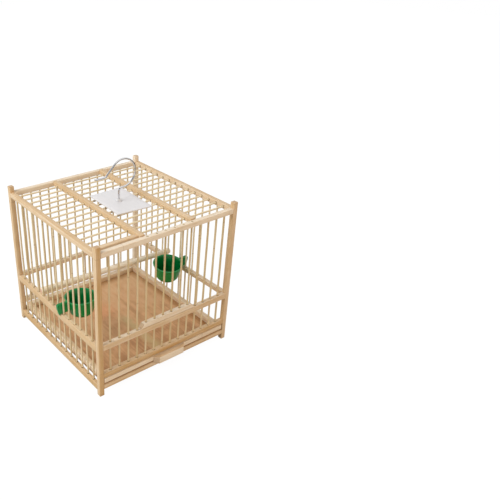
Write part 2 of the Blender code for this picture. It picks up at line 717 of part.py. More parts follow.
def bent_wire(moves):
    """Points along a wire in a plane, from its foot upward: each move is a straight length,
    or a pair of bend radius and turn, where a positive turn is to the left."""
    spot = Vector((0, 0))
    heading = math.radians(90)
    points = [spot.copy()]
    for move in moves:
        if not isinstance(move, tuple):
            spot += move * Vector((math.cos(heading), math.sin(heading)))
            points.append(spot.copy())
            continue
        radius, turn = move
        steps = math.ceil(abs(turn) / BEND_STEP)
        chord = 2 * radius * math.sin(abs(turn) / steps / 2)
        for _ in range(steps):
            heading += turn / steps / 2
            spot += chord * Vector((math.cos(heading), math.sin(heading)))
            heading += turn / steps / 2
            points.append(spot.copy())
    return points


def make_hook(cage):
    """The wire hook, its shank through both plates, with a nut and washer above and a nut below."""
    swivel = joint_empty("hook_swivel", (HOOK_X, HOOK_Y, PLATE_TOP), cage)
    foot = LOWER_NUT_UNDERSIDE - HOOK_SHANK_TAIL - PLATE_TOP
    quarter = math.radians(90)
    points = bent_wire([HOOK_SHANK_RISE - foot, (HOOK_BEND_RADIUS, -quarter), HOOK_BEND_RUN,
                        (HOOK_LOOP_RADIUS, HOOK_LOOP_TURN), HOOK_LEAD_LENGTH,
                        (HOOK_TIP_RADIUS, 2 * quarter - HOOK_LOOP_TURN), HOOK_TIP_LENGTH])
    wire = bpy.data.curves.new("hook", "CURVE")
    wire.dimensions = "3D"
    wire.bevel_depth = WIRE_DIAMETER / 2
    wire.bevel_resolution = WIRE_RESOLUTION
    wire.use_fill_caps = True
    spline = wire.splines.new("POLY")
    spline.points.add(len(points) - 1)
    for knot, (across, up) in zip(spline.points, points):
        knot.co = (across, 0, up, 1)
    wire.materials.append(material(STEEL))
    hook = bpy.data.objects.new("hook", wire)
    bpy.context.scene.collection.objects.link(hook)
    hook.location = (0, 0, foot)
    hook.parent = swivel
    washer = pegs([(0, 0, 0)], WASHER_DIAMETER / 2, WASHER_THICKNESS, "Z", HOLE_SIDES)
    washer_z = FIT + WASHER_THICKNESS / 2
    round_off(holed("hook_washer", washer, STEEL, (0, 0, washer_z), WASHER_THICKNESS, swivel))
    nut_z = washer_z + WASHER_THICKNESS / 2 + FIT + NUT_HEIGHT / 2
    lower_z = LOWER_NUT_UNDERSIDE + NUT_HEIGHT / 2 - PLATE_TOP
    corner_radius = NUT_ACROSS / 2 / math.cos(math.pi / NUT_SIDES)
    for name, height in (("hook_nut_upper", nut_z), ("hook_nut_lower", lower_z)):
        nut = pegs([(0, 0, 0)], corner_radius, NUT_HEIGHT, "Z", NUT_SIDES)
        holed(name, nut, STEEL, (0, 0, height), NUT_HEIGHT, swivel)


def main():
    clear_scene()
    middle = ((LEFT_REACH - RIGHT_REACH) / 2, (PULL_DEPTH + FIT) / 2, 0)
    cage = joint_empty("cage", middle)
    make_posts(cage)
    make_lower_rails(cage)
    make_top_rails(cage)
    make_bar_walls(cage)
    make_roof(cage)
    make_door(cage)
    make_tray(cage)
    make_perch(cage)
    for side in ("left", "right"):
        make_cup(side, cage)
    make_roof_plate(cage)
    make_hook(cage)


main()
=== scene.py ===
# %% [markdown]
# # A small bamboo birdcage
#
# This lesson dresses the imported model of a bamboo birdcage: square posts and rails, thin round bars,
# a roof of rods with two battens, a lifting door, a slide-out tray, a perch, two green cups and a
# wire hook on a grey plate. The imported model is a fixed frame. Every new piece takes its size and
# place from it, so the finished cage is as large as the frame.

# %% Load the frame
import math
import random

import bpy
import numpy as np
from mathutils import Matrix, Vector


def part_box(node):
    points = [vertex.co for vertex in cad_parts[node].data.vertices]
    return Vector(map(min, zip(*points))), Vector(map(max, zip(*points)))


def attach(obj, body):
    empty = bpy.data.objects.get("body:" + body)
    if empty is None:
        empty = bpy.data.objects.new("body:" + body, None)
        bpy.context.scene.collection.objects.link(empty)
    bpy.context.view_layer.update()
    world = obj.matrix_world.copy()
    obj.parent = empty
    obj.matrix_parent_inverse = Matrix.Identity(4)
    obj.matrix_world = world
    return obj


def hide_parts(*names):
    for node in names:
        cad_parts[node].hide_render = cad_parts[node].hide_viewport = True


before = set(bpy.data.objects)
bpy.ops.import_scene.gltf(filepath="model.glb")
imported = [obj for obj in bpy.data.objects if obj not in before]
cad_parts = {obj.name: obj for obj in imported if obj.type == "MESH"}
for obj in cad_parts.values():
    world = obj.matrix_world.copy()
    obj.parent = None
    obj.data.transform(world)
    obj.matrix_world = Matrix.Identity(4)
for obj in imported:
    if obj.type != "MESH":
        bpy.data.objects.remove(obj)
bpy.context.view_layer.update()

# %% [markdown]
# ## Measures
#
# A dressed piece must sit where its node sits. Numbers could be copied from the source of the frame,
# but then two files would have to agree. Here the posts, bars and rods of the frame are measured, and
# the pitch of the bars and the centre lines of the walls follow from them.

# %% Measure the frame
MM = 0.001
NEAR = 0.1 * MM
BAR_COUNT = 14
DOOR_START, DOOR_END = 4, 10


def points_of(piece):
    """The points of a mesh as rows of x, y and z."""
    points = np.zeros(len(piece.data.vertices) * 3, np.float32)
    piece.data.vertices.foreach_get("co", points)
    return points.reshape(-1, 3).astype(float)


def node_points(node):
    return points_of(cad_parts[node])


def centre(node):
    """The middle of a node's box."""
    low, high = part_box(node)
    return (low + high) / 2


near_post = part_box("post_front_left")
far_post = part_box("post_back_right")
STOCK = near_post[1].x - near_post[0].x
INNER_LOW = near_post[1]
INNER_HIGH = far_post[0]
WALL_LOW = near_post[0] + Vector((STOCK, STOCK, 0)) / 2
WALL_HIGH = far_post[1] - Vector((STOCK, STOCK, 0)) / 2
BAR_RADIUS = (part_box("front_bar_1")[1].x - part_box("front_bar_1")[0].x) / 2
FRONT_PITCH = centre("front_bar_2").x - centre("front_bar_1").x
FRONT_PLACES = [centre("front_bar_1").x + index * FRONT_PITCH for index in range(BAR_COUNT)]
SIDE_PLACES = [centre(f"roof_rod_{index + 1:02d}").y for index in range(BAR_COUNT)]
ROD_Z = centre("roof_rod_01").z
print(f"Stock {STOCK / MM:.1f} mm, bars {2 * BAR_RADIUS / MM:.1f} mm thick, {FRONT_PITCH / MM:.2f} mm apart",
      f"at the front and {(SIDE_PLACES[1] - SIDE_PLACES[0]) / MM:.2f} mm at the sides")

# %% [markdown]
# ## The camera
#
# The photograph looks down on the cage's near left corner. The lens is a little longer than normal,
# and the cage stands in the left half of the picture, so the sensor is shifted and not the camera
# turned: a turned camera would change how the upright posts converge.

# %% Set up the camera
CAMERA_PLACE = Vector((-0.47023, -0.67826, 0.60107))
CAMERA_AZIMUTH, CAMERA_ELEVATION, CAMERA_ROLL = -35.47, 30.40, -0.05
PHOTO_SIZE = 500
FOCAL_PIXELS = 587.8
AXIS_PIXEL = (128.0, 269.2)
SENSOR = 36.0


def away(azimuth, elevation):
    """The direction from the cage to something round it; azimuth 0 is in front, -90 at the left."""
    around, rise = math.radians(azimuth), math.radians(elevation)
    return Vector((math.sin(around) * math.cos(rise), -math.cos(around) * math.cos(rise), math.sin(rise)))


def make_camera():
    """A camera at the photograph's place, looking along its axis."""
    bpy.ops.object.camera_add(location=CAMERA_PLACE)
    camera = bpy.context.object
    camera.name = "photo_camera"
    camera.rotation_mode = "QUATERNION"
    turn = (-away(CAMERA_AZIMUTH, CAMERA_ELEVATION)).to_track_quat("-Z", "Y")
    camera.rotation_quaternion = turn @ Matrix.Rotation(math.radians(CAMERA_ROLL), 4, "Z").to_quaternion()
    camera.data.sensor_width = SENSOR
    camera.data.lens = FOCAL_PIXELS / PHOTO_SIZE * SENSOR
    camera.data.shift_x = (PHOTO_SIZE / 2 - AXIS_PIXEL[0]) / PHOTO_SIZE
    camera.data.shift_y = (AXIS_PIXEL[1] - PHOTO_SIZE / 2) / PHOTO_SIZE
    camera.data.dof.use_dof = False
    bpy.context.scene.camera = camera
    return camera


camera = make_camera()
print(f"Lens {camera.data.lens:.1f} mm, shift {camera.data.shift_x:.3f}, {camera.data.shift_y:.3f}")

# %% [markdown]
# ## Shader maths in plain Python
#
# A procedural finish is a chain of nodes. Laid by hand, each one takes a line to add, a few to set
# and a few to link. Here a Signal wraps one socket, and +, - and * between signals add the Math
# nodes, so a mask reads as arithmetic. A Finish holds the material, and its node method adds any
# other kind of node: its settings are put in first, then the values or links of its sockets.

# %% Signals and finishes


class Signal:
    """One output of a material's nodes, which can be used in arithmetic."""

    def __init__(self, finish, socket):
        self.finish = finish
        self.socket = socket

    def maths(self, operation, first, second):
        return self.finish.node("ShaderNodeMath", "Value", {"operation": operation}, {0: first, 1: second})

    def __add__(self, other):
        return self.maths("ADD", self, other)

    def __sub__(self, other):
        return self.maths("SUBTRACT", self, other)

    def __rsub__(self, other):
        return self.maths("SUBTRACT", other, self)

    def __mul__(self, other):
        return self.maths("MULTIPLY", self, other)

    __radd__ = __add__
    __rmul__ = __mul__

    def at_most(self, other):
        return self.maths("MINIMUM", self, other)

    def at_least(self, other):
        return self.maths("MAXIMUM", self, other)

    def within(self, low, high):
        """0 up to low, 1 from high on, and a smooth step between them."""
        return self.finish.node("ShaderNodeMapRange", "Result", {"interpolation_type": "SMOOTHSTEP"},
                                {"Value": self, "From Min": low, "From Max": high})


class Finish:
    """A material, or the world, under construction."""

    def __init__(self, name, home="materials", shader="Principled BSDF"):
        self.material = getattr(bpy.data, home).new(name)
        self.material.use_nodes = True
        self.tree = self.material.node_tree
        self.shader = self.tree.nodes[shader]

    def put(self, socket, value):
        """Links a signal to a socket, or writes a plain value on it."""
        if isinstance(value, Signal):
            self.tree.links.new(value.socket, socket)
        elif socket.type == "RGBA" and len(value) == 3:
            socket.default_value = (*value, 1.0)
        else:
            socket.default_value = value

    def node(self, kind, output, settings=None, sockets=None):
        """Adds a node, sets it up, fills its sockets and returns one of its outputs."""
        made = self.tree.nodes.new(kind)
        for key, value in (settings or {}).items():
            if key == "stops":
                ramp = made.color_ramp.elements
                while len(ramp) < len(value):
                    ramp.new(1.0)
                for element, (place, colour) in zip(ramp, value):
                    element.position = place
                    element.color = (*colour, 1.0)
            else:
                setattr(made, key, value)
        for key, value in (sockets or {}).items():
            self.put(made.inputs[key], value)
        return Signal(self, made.outputs[output])

    def attribute(self, name, output="Fac"):
        return self.node("ShaderNodeAttribute", output, {"attribute_name": name})

    def place(self):
        """Object coordinates, in metres."""
        return self.node("ShaderNodeTexCoord", "Object")

    def part(self, vector, axis):
        """One number of a vector."""
        return self.node("ShaderNodeSeparateXYZ", axis, None, {"Vector": vector})

    def noise(self, vector, scale=1.0, detail=2.0, roughness=0.5, distortion=0.0, shift=(0, 0, 0)):
        """Soft noise. Three scales in place of one stretch it differently along and across."""
        if isinstance(scale, tuple):
            vector = self.node("ShaderNodeMapping", "Vector", None,
                               {"Vector": vector, "Scale": scale, "Location": shift})
            scale = 1.0
        return self.node("ShaderNodeTexNoise", "Fac", None,
                         {"Vector": vector, "Scale": scale, "Detail": detail, "Roughness": roughness,
                          "Distortion": distortion})

    def ramp(self, level, *stops):
        """Colours along a scale, each given with its place."""
        return self.node("ShaderNodeValToRGB", "Color", {"stops": stops}, {"Fac": level})

    def mix(self, factor, first, second):
        """A colour between two colours."""
        return self.node("ShaderNodeMix", 2, {"data_type": "RGBA"}, {0: factor, 6: first, 7: second})

    def bump(self, height, distance, strength):
        return self.node("ShaderNodeBump", "Normal", None,
                         {"Height": height, "Distance": distance, "Strength": strength})

    def surface(self, **sockets):
        """Fills the shader's own sockets; an underscore in a name stands for a space."""
        for key, value in sockets.items():
            self.put(self.shader.inputs[key.replace("_", " ")], value)
        return self.material


def shade(*screen):
    """A colour given as 0 to 255 on the screen, as the shader wants it."""
    shares = [value / 255 for value in screen]
    return tuple(share / 12.92 if share <= 0.04045 else ((share + 0.055) / 1.055) ** 2.4 for share in shares)


# %% [markdown]
# ## Bamboo strips
#
# The posts and rails are sawn from the wall of a thick bamboo cane. Long fibres run from end to end,
# some pale, some tan, with short brown flecks, and every hand's breadth or so a joint of the cane
# crosses the strip as a slightly raised darker line. A wood texture in object coordinates would run
# the same way on every piece, so each piece carries its own coordinates in an attribute named grain:
# the first number runs along the fibres. A second attribute, tone, says how golden the strip is, as
# no two strips of a cage have the same colour. The faces that look along one axis get a tone of their
# own: partly the differing inner and outer side of the cane, partly painted light and shade that
# follows how lit those faces are.
# A third one, sawn, marks the faces that cut through the fibres, which look duller and pinker.

# %% The strip finish
JOINT_SPACING = 0.19
JOINT_WIDTH = 0.0011
JOINT_WANDER = 0.0018
CREAM = shade(243, 227, 203)
STRAW = shade(222, 192, 152)
GOLD = shade(199, 158, 97)
FLECK = shade(142, 104, 60)
SAWN = shade(198, 166, 130)


def cane_joints(finish, grain):
    """1 on the lines where a joint of the cane crosses the strip."""
    wander = finish.noise(grain, (3, 260, 260), 1)
    turns = (finish.part(grain, "X") + (wander - 0.5) * JOINT_WANDER) * (1 / JOINT_SPACING)
    return 1 - turns.maths("PINGPONG", turns, 0.5).within(0.0, JOINT_WIDTH / JOINT_SPACING)


def bamboo_strip():
    finish = Finish("bamboo_strip")
    grain = finish.attribute("grain", "Vector")
    fine = finish.noise(grain, (45, 3200, 3200), 3, 0.6)
    broad = finish.noise(grain, (9, 620, 620))
    bands = finish.noise(grain, (13, 300, 300))
    cloud = finish.noise(grain, 38)
    golden = finish.attribute("tone") + (broad - 0.5) * 0.6 + (bands - 0.5) * 0.55
    golden = golden + (fine - 0.5) * 0.45 + (cloud - 0.5) * 0.35
    colour = finish.ramp(golden, (0.05, CREAM), (0.5, STRAW), (1.0, GOLD))
    dashes = finish.noise(grain, (110, 4600, 4600), 2, 0.7)
    flecks = dashes.within(0.60, 0.74) * cloud.within(0.42, 0.62)
    joints = cane_joints(finish, grain)
    colour = finish.mix(flecks * 0.55, colour, FLECK)
    colour = finish.mix(joints * 0.22, colour, FLECK)
    pith = finish.noise(finish.place(), 2400, 2, 0.7)
    colour = finish.mix(finish.attribute("sawn") * (0.4 + pith * 0.7), colour, SAWN)
    height = fine * 0.6 + broad * 0.5 + joints * 0.9 - flecks * 0.5
    return finish.surface(Base_Color=colour, Roughness=0.50 + (fine - 0.5) * 0.22 + flecks * 0.12,
                          Normal=finish.bump(height, 0.00012, 0.6), Specular_IOR_Level=0.6)


# %% [markdown]
# ## Round bars and rods
#
# The bars are split from the same cane and pulled through a round hole in a steel plate, which leaves
# them smooth, with thin scratches along their length. Where a bar is pushed into its drilled hole, it
# gets a brown mark: partly a glue stain, partly painted shade where the bar meets the rail. The mark
# could be painted by height, but the rails of each wall stand at their own heights, so the bars carry
# it in an attribute named mark.

# %% The bar finish
BAR_PALE = shade(244, 230, 197)
BAR_TAN = shade(209, 184, 137)
# Partly stain, partly painted shade: the colour of the bars' feet and of the holes.
MARK_AND_SHADE = shade(122, 92, 46)


def bamboo_bar():
    finish = Finish("bamboo_bar")
    grain = finish.attribute("grain", "Vector")
    fine = finish.noise(grain, (30, 3600, 3600), 3, 0.6)
    patches = finish.noise(grain, (26, 240, 240), 3, 0.6)
    golden = finish.attribute("tone") + (fine - 0.5) * 0.5 + (patches - 0.5) * 0.5
    colour = finish.ramp(golden, (0.05, BAR_PALE), (0.95, BAR_TAN))
    dashes = finish.noise(grain, (90, 4200, 4200), 2, 0.7)
    colour = finish.mix(dashes.within(0.63, 0.76) * 0.4, colour, FLECK)
    joints = cane_joints(finish, grain)
    colour = finish.mix(joints * 0.55, colour, FLECK)
    # Partly glue stain, partly painted shade where a bar meets a rail or goes under the plate.
    stain_and_shade = (finish.attribute("mark") * (0.75 + patches * 0.5)).at_most(1.0)
    colour = finish.mix(stain_and_shade * 0.85, colour, MARK_AND_SHADE)
    height = fine * 0.6 + joints * 0.9 + patches * 0.5
    return finish.surface(Base_Color=colour, Roughness=0.44 + (patches - 0.5) * 0.25,
                          Normal=finish.bump(height, 0.0001, 0.5), Specular_IOR_Level=0.45)


def drilled_hole():
    """The brown wall and mouth of a drilled hole."""
    finish = Finish("drilled_hole")
    rings = finish.noise(finish.place(), 2600)
    # Partly stained wood, partly painted shade: the hole's wall and mouth are dark brown.
    colour = finish.mix(rings.within(0.3, 0.75), shade(92, 66, 32), MARK_AND_SHADE)
    return finish.surface(Base_Color=colour, Roughness=0.85, Normal=finish.bump(rings, 0.0001, 0.5))


STRIP_FINISH = bamboo_strip()
BAR_FINISH = bamboo_bar()
HOLE_FINISH = drilled_hole()
print("Finishes so far:", STRIP_FINISH.name, BAR_FINISH.name, HOLE_FINISH.name)

# %% [markdown]
# ## Tools for the joinery
#
# Everything wooden starts as a cube or a cylinder of the right size and is worked on in edit mode. An
# operator acts on whatever is selected, so each tool first clears the selection and then picks edges,
# faces or points by a test on their place.

# %% Select
TOUCH = 0.02 * MM


def clear_selection():
    if bpy.context.object and bpy.context.object.mode == "EDIT":
        bpy.ops.object.mode_set(mode="OBJECT")
    bpy.ops.object.select_all(action="DESELECT")


def work_on(piece):
    """Makes one piece the only selected and active one."""
    clear_selection()
    piece.select_set(True)
    bpy.context.view_layer.objects.active = piece


def pick(piece, kind, test=lambda part: True):
    """Goes to edit mode with only those faces, edges or points selected that pass a test."""
    work_on(piece)
    bpy.ops.object.mode_set(mode="EDIT")
    bpy.ops.mesh.select_mode(type=kind)
    bpy.ops.mesh.select_all(action="DESELECT")
    bpy.ops.object.mode_set(mode="OBJECT")
    mesh = piece.data
    for part in {"VERT": mesh.vertices, "EDGE": mesh.edges, "FACE": mesh.polygons}[kind]:
        part.select = bool(test(part))
    bpy.ops.object.mode_set(mode="EDIT")


def leave():
    bpy.ops.object.mode_set(mode="OBJECT")


def ends_of(piece, edge):
    return [piece.data.vertices[index].co for index in edge.vertices]


def runs_along(piece, axis, least=0):
    """A test for the edges that run along an axis and are longer than a least length."""
    def test(edge):
        first, second = ends_of(piece, edge)
        span = second - first
        return abs(span[axis]) > 0.999 * span.length and span.length > least
    return test


def at_heights(piece, *heights, radius=None):
    """A test for the edges with both ends at one of some heights, and at a radius if one is given."""
    def test(edge):
        return all(min(abs(spot.z - height) for height in heights) < TOUCH
                   and (radius is None or abs(spot.xy.length - radius) < TOUCH)
                   for spot in ends_of(piece, edge))
    return test


# %% Edit
def on_axis(axis, length=1.0):
    """A vector along one axis."""
    vector = Vector((0, 0, 0))
    vector[axis] = length
    return vector


def round_edges(piece, test, width, segments):
    pick(piece, "EDGE", test)
    bpy.ops.mesh.bevel(offset=width, segments=segments, affect="EDGES")
    leave()


def move_points(piece, test, move):
    pick(piece, "VERT", test)
    bpy.ops.transform.translate(value=move)
    leave()


def draw_out(move):
    """Extrudes the selected faces."""
    bpy.ops.mesh.extrude_region_move(TRANSFORM_OT_translate={"value": tuple(move)})


def widen(share):
    """Scales the selection about the upright axis."""
    bpy.ops.transform.resize(value=(share, share, 1), center_override=(0, 0, 0))


def cut_across(piece, height, axis=2):
    """Adds a loop of edges round a piece, square to an axis."""
    pick(piece, "FACE")
    bpy.ops.mesh.bisect(plane_co=on_axis(axis, height), plane_no=on_axis(axis))
    leave()


def apply(piece, kind, **settings):
    """Adds a modifier with its settings and applies it at once."""
    work_on(piece)
    change = piece.modifiers.new("change", kind)
    for key, value in settings.items():
        setattr(change, key, value)
    bpy.ops.object.modifier_apply(modifier=change.name)


def cylinder(name, sides, radius, low, high, spot=(0, 0)):
    """An upright cylinder between two heights."""
    clear_selection()
    bpy.ops.mesh.primitive_cylinder_add(vertices=sides, radius=radius, depth=high - low,
                                        location=(*spot, (low + high) / 2))
    piece = bpy.context.object
    piece.name = name
    bpy.ops.object.transform_apply(location=True, rotation=True, scale=True)
    return piece


def cube(name, low, high):
    """A plain cube between two corners."""
    clear_selection()
    bpy.ops.mesh.primitive_cube_add(size=1, location=(low + high) / 2)
    piece = bpy.context.object
    piece.name = piece.data.name = name
    piece.scale = high - low
    bpy.ops.object.transform_apply(location=True, rotation=False, scale=True)
    return piece


# %% [markdown]
# ## Strips with worked edges
#
# A strip is a cube at its size and place. All its edges are broken with a small bevel, as a maker
# does with a scraper, and its long edges are divided so that the strip can be slightly uneven. The
# unevenness is a Displace modifier with a cloud texture: a tenth of a millimetre is enough to
# make the light run unevenly along an edge.

# %% Make and age a strip
EDGE_ROUND = 0.35 * MM
DIVISION = 9 * MM
SEAM = 0.06 * MM
wobble = bpy.data.textures.new("wobble", "CLOUDS")
wobble.cloud_type = "COLOR"
wobble.noise_scale = 0.035


def divide(piece, axis, cuts):
    """Divides the long edges of a piece, which adds loops across it."""
    pick(piece, "EDGE", runs_along(piece, axis, piece.dimensions[axis] / 2))
    bpy.ops.mesh.subdivide(number_cuts=cuts)
    leave()


def block(name, low, high, edge=EDGE_ROUND, segments=2):
    """A cube between two corners with all its edges broken and its long edges divided."""
    low, high = Vector(low), Vector(high)
    piece = cube(name, low, high)
    round_edges(piece, lambda edge: True, edge, segments)
    size = high - low
    axis = max(range(3), key=lambda index: size[index])
    divide(piece, axis, max(1, round(size[axis] / DIVISION) - 1))
    return piece


def uneven(piece, amount, direction="NORMAL"):
    """A slight unevenness, different at every place in the cage."""
    apply(piece, "DISPLACE", texture=wobble, texture_coords="LOCAL", direction=direction,
          strength=amount, mid_level=0.5)


def smooth(piece, degrees=35):
    work_on(piece)
    bpy.ops.object.shade_smooth_by_angle(angle=math.radians(degrees))


def write_attribute(piece, name, values):
    """Stores a number or a vector at each point of a piece."""
    values = np.asarray(values, np.float32)
    kind, field = ("FLOAT_VECTOR", "vector") if values.ndim == 2 else ("FLOAT", "value")
    piece.data.attributes.new(name, kind, "POINT").data.foreach_set(field, values.ravel())


def lay_grain(piece, direction, tone, other_tone=None, other_axis=2):
    """Stores each point's place along and across the fibres, and how golden the piece is.

    The faces that look along one axis may have another tone than the rest."""
    along = Vector(direction).normalized()
    side = along.orthogonal().normalized()
    axes = np.array([along, side, along.cross(side)])
    chance = random.Random(piece.name)
    shift = np.array([chance.uniform(-1, 1) for _ in range(3)])
    write_attribute(piece, "grain", points_of(piece) @ axes.T + shift)
    tones = np.full(len(piece.data.vertices), tone)
    sawn = np.zeros(len(piece.data.vertices))
    for face in piece.data.polygons:
        corners = list(face.vertices)
        # The other tone is partly painted light and shade on the faces that look along one axis.
        if other_tone is not None and abs(face.normal[other_axis]) > 0.95:
            tones[corners] = other_tone
        if abs(face.normal.dot(along)) > 0.5 and face.material_index == 0:
            sawn[corners] = 1.0
    write_attribute(piece, "tone", tones)
    write_attribute(piece, "sawn", sawn)


def finish_piece(piece, body, nodes=()):
    """Lets a finished piece ride on its body and stand for its frame nodes."""
    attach(piece, body)
    if nodes:
        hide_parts(*nodes)
    return piece


def finish_strip(strip, body, node, axis, tones, amount=0.14 * MM, other_axis=2):
    """The last steps of every strip: it is made uneven and gets its grain, its body and its node."""
    uneven(strip, amount)
    smooth(strip)
    lay_grain(strip, on_axis(axis), *tones, other_axis)
    return finish_piece(strip, body, [node])


def dress(piece, material):
    """Puts a finish in the piece's first material slot."""
    if piece.data.materials:
        piece.data.materials[0] = material
    else:
        piece.data.materials.append(material)
    return piece


# %% [markdown]
# ## Holes
#
# Each bar sits in a drilled hole. In the picture the holes show as brown spots at the feet of the
# bars, so they are cut for real: a drill is a cylinder with a flared mouth, as the drill's tip tears
# the fibres a little where it enters. All the holes of a rail are cut at once by one Boolean, and the
# drill's own brown finish stays on the faces that it leaves: partly stained wood, partly painted shade
# inside the hole. The slivers that a Boolean leaves where two faces nearly touch are welded away.

# %% Drill
HOLE_GAP = 0.16 * MM
MOUTH_FLARE = 0.22 * MM
MOUTH_DEPTH = 0.45 * MM
HOLE_DEPTH = 4.2 * MM
DRILL_SIDES = 16
OVERRUN = 0.8 * MM
SLIVER = 0.02 * MM
FROM_ABOVE = Matrix()
FROM_BELOW = Matrix.Rotation(math.pi, 4, "X")
FROM_LEFT = Matrix.Rotation(math.radians(-90), 4, "Y")
FROM_RIGHT = Matrix.Rotation(math.radians(90), 4, "Y")


def drill_bit(radius, flare, depth):
    """A drill pointing down, with its mouth at the origin."""
    bit = cylinder("bit", DRILL_SIDES, radius, -depth, 0)
    if flare:
        cut_across(bit, -MOUTH_DEPTH)
        pick(bit, "VERT", lambda vertex: vertex.co.z > -MOUTH_DEPTH / 2)
        widen(1 + flare / radius)
        leave()
    pick(bit, "FACE", lambda face: face.normal.z > 0.9)
    draw_out((0, 0, OVERRUN))
    leave()
    return dress(bit, HOLE_FINISH)


def copy_of(piece, name, place, turn):
    """A copy with its own mesh, turned about the origin and then moved."""
    clear_selection()
    twin = piece.copy()
    twin.data = piece.data.copy()
    twin.name = twin.data.name = name
    bpy.context.scene.collection.objects.link(twin)
    twin.data.transform(turn)
    twin.data.transform(Matrix.Translation(place))
    return twin


def discard(piece):
    bpy.data.objects.remove(piece, do_unlink=True)


def join(pieces):
    """Joins several pieces into the first one."""
    clear_selection()
    for piece in pieces:
        piece.select_set(True)
    bpy.context.view_layer.objects.active = pieces[0]
    bpy.ops.object.join()
    return pieces[0]


def cut(piece, tool):
    """Takes the tool's shape out of the piece, and removes the tool."""
    apply(piece, "BOOLEAN", operation="DIFFERENCE", solver="EXACT", object=tool, material_mode="TRANSFER")
    discard(tool)


def weld(piece):
    """Clears away the slivers that a cut or a join leaves."""
    pick(piece, "VERT")
    bpy.ops.mesh.remove_doubles(threshold=SLIVER)
    bpy.ops.mesh.dissolve_degenerate(threshold=SLIVER)
    leave()


def drill(piece, places, depth=HOLE_DEPTH, gap=HOLE_GAP, flare=MOUTH_FLARE, turn=FROM_ABOVE):
    """Drills one hole at each place."""
    bit = drill_bit(BAR_RADIUS + gap, flare, depth)
    bits = [copy_of(bit, f"bit_{index}", place, turn) for index, place in enumerate(places)]
    discard(bit)
    cut(piece, join(bits))
    weld(piece)


# %% [markdown]
# ## Where each rail lies
#
# A rail's own height can't be read from its node's box when bars are glued through it. The bars stop
# short of the posts, so the corners of the node beyond the last bar belong to the rail alone. The left
# bottom rail has been planed narrower on its inner side, which leaves a strip of light beside the tray.

# %% Rail bodies
TENON_SHARE = 0.31
TENON_LENGTH = 2.3 * MM
BEYOND_BARS = 3 * MM
PLANED_OFF = 1.5 * MM
# Each rail's tone for most faces, then for its tops and bottoms; the second is partly painted light and
# shade.
RAIL_TONES = {
    "top_rail_front": (0.13, 0.07), "top_rail_back": (0.10, 0.15), "top_rail_left": (0.43, 0.60),
    "top_rail_right": (0.38, 0.54), "mid_rail_front": (0.49, 0.15), "mid_rail_back": (0.20, 0.10),
    "mid_rail_left": (0.63, 0.47), "mid_rail_right": (0.32, 0.25), "bottom_rail_front": (0.82, 0.45),
    "bottom_rail_back": (0.10, 0.10), "bottom_rail_left": (0.75, 0.58),
    "bottom_rail_right": (0.50, 0.50), "lower_strip_front": (0.54, 0.50),
    "lower_strip_back": (0.50, 0.50),
}


def rail_axis(name):
    """0 for a rail that runs from left to right, 1 for one that runs from front to back."""
    return 0 if name.endswith(("front", "back")) else 1


def rail_body(name):
    """The lowest and highest corner of a rail between its posts, without its tenons and bars."""
    axis = rail_axis(name)
    last_bar = (FRONT_PLACES if axis == 0 else SIDE_PLACES)[-1]
    points = node_points(name)
    ends = points[points[:, axis] > last_bar + BEYOND_BARS]
    low, high = Vector(ends.min(0)), Vector(ends.max(0))
    low[axis] = INNER_LOW[axis] + SEAM
    high[axis] = INNER_HIGH[axis] - SEAM
    return low, high


def add_tenons(piece, axis):
    """A stub tenon at each end: the end face is shrunk in place and drawn out."""
    points = points_of(piece)
    low, high = points.min(0), points.max(0)
    share = [TENON_SHARE] * 3
    share[axis] = 1
    for sign, end in ((-1, low[axis]), (1, high[axis])):
        pick(piece, "FACE", lambda face: face.normal[axis] * sign > 0.99
             and abs(face.center[axis] - end) < NEAR)
        bpy.ops.mesh.inset(thickness=0.4 * MM)
        spot = Vector((low + high) / 2)
        spot[axis] = end
        bpy.ops.transform.resize(value=share, center_override=spot)
        draw_out(on_axis(axis, sign * TENON_LENGTH))
        leave()


RAILS = {name: rail_body(name) for name in RAIL_TONES}
RAILS["bottom_rail_left"][1].x -= PLANED_OFF
print("Rails measured:", len(RAILS))

# %% [markdown]
# ## Posts
#
# Four square posts stand on the ground and run past the top rails. Every rail enters them with a stub
# tenon, so each post has a row of small mortises on its two inner faces, cut with one Boolean. The
# front posts have more gold in them than the back ones, and most on their front faces; this difference
# between faces is partly painted shade.

# %% Posts
# Each post's tone for most faces, then for the faces that look left or right; the second is partly painted
# light and shade.
POST_TONES = {"front_left": (0.85, 0.50), "front_right": (0.48, 0.62), "back_left": (0.55, 0.57),
              "back_right": (0.03, 0.12)}
MORTISE_GAP = 0.25 * MM


def mortise_tools(side_x, side_y):
    """Boxes for the tenons that meet one post."""
    tools = []
    for name, (low, high) in RAILS.items():
        axis = rail_axis(name)
        if not name.endswith(side_y if axis == 0 else side_x):
            continue
        at_high_end = side_x == "right" if axis == 0 else side_y == "back"
        half = (high - low) / 2 * TENON_SHARE + Vector((MORTISE_GAP,) * 3)
        corner_low = (low + high) / 2 - half
        corner_high = (low + high) / 2 + half
        face = high[axis] if at_high_end else low[axis]
        reach = TENON_LENGTH + MORTISE_GAP
        corner_low[axis] = face - OVERRUN if at_high_end else face - reach
        corner_high[axis] = face + reach if at_high_end else face + OVERRUN
        tool = block(f"mortise_{name}", corner_low, corner_high, edge=0.05 * MM, segments=1)
        tools.append(dress(tool, HOLE_FINISH))
    return tools


def make_post(side_x, side_y):
    node = f"post_{side_y}_{side_x}"
    post = dress(block(f"{node}_strip", *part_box(node), edge=0.5 * MM), STRIP_FINISH)
    pick(post, "FACE", lambda face: face.normal.z > 0.99)
    bpy.ops.mesh.inset(thickness=0.7 * MM)
    leave()
    cut(post, join(mortise_tools(side_x, side_y)))
    return finish_strip(post, "frame", node, 2, POST_TONES[f"{side_y}_{side_x}"], 0.16 * MM, other_axis=0)


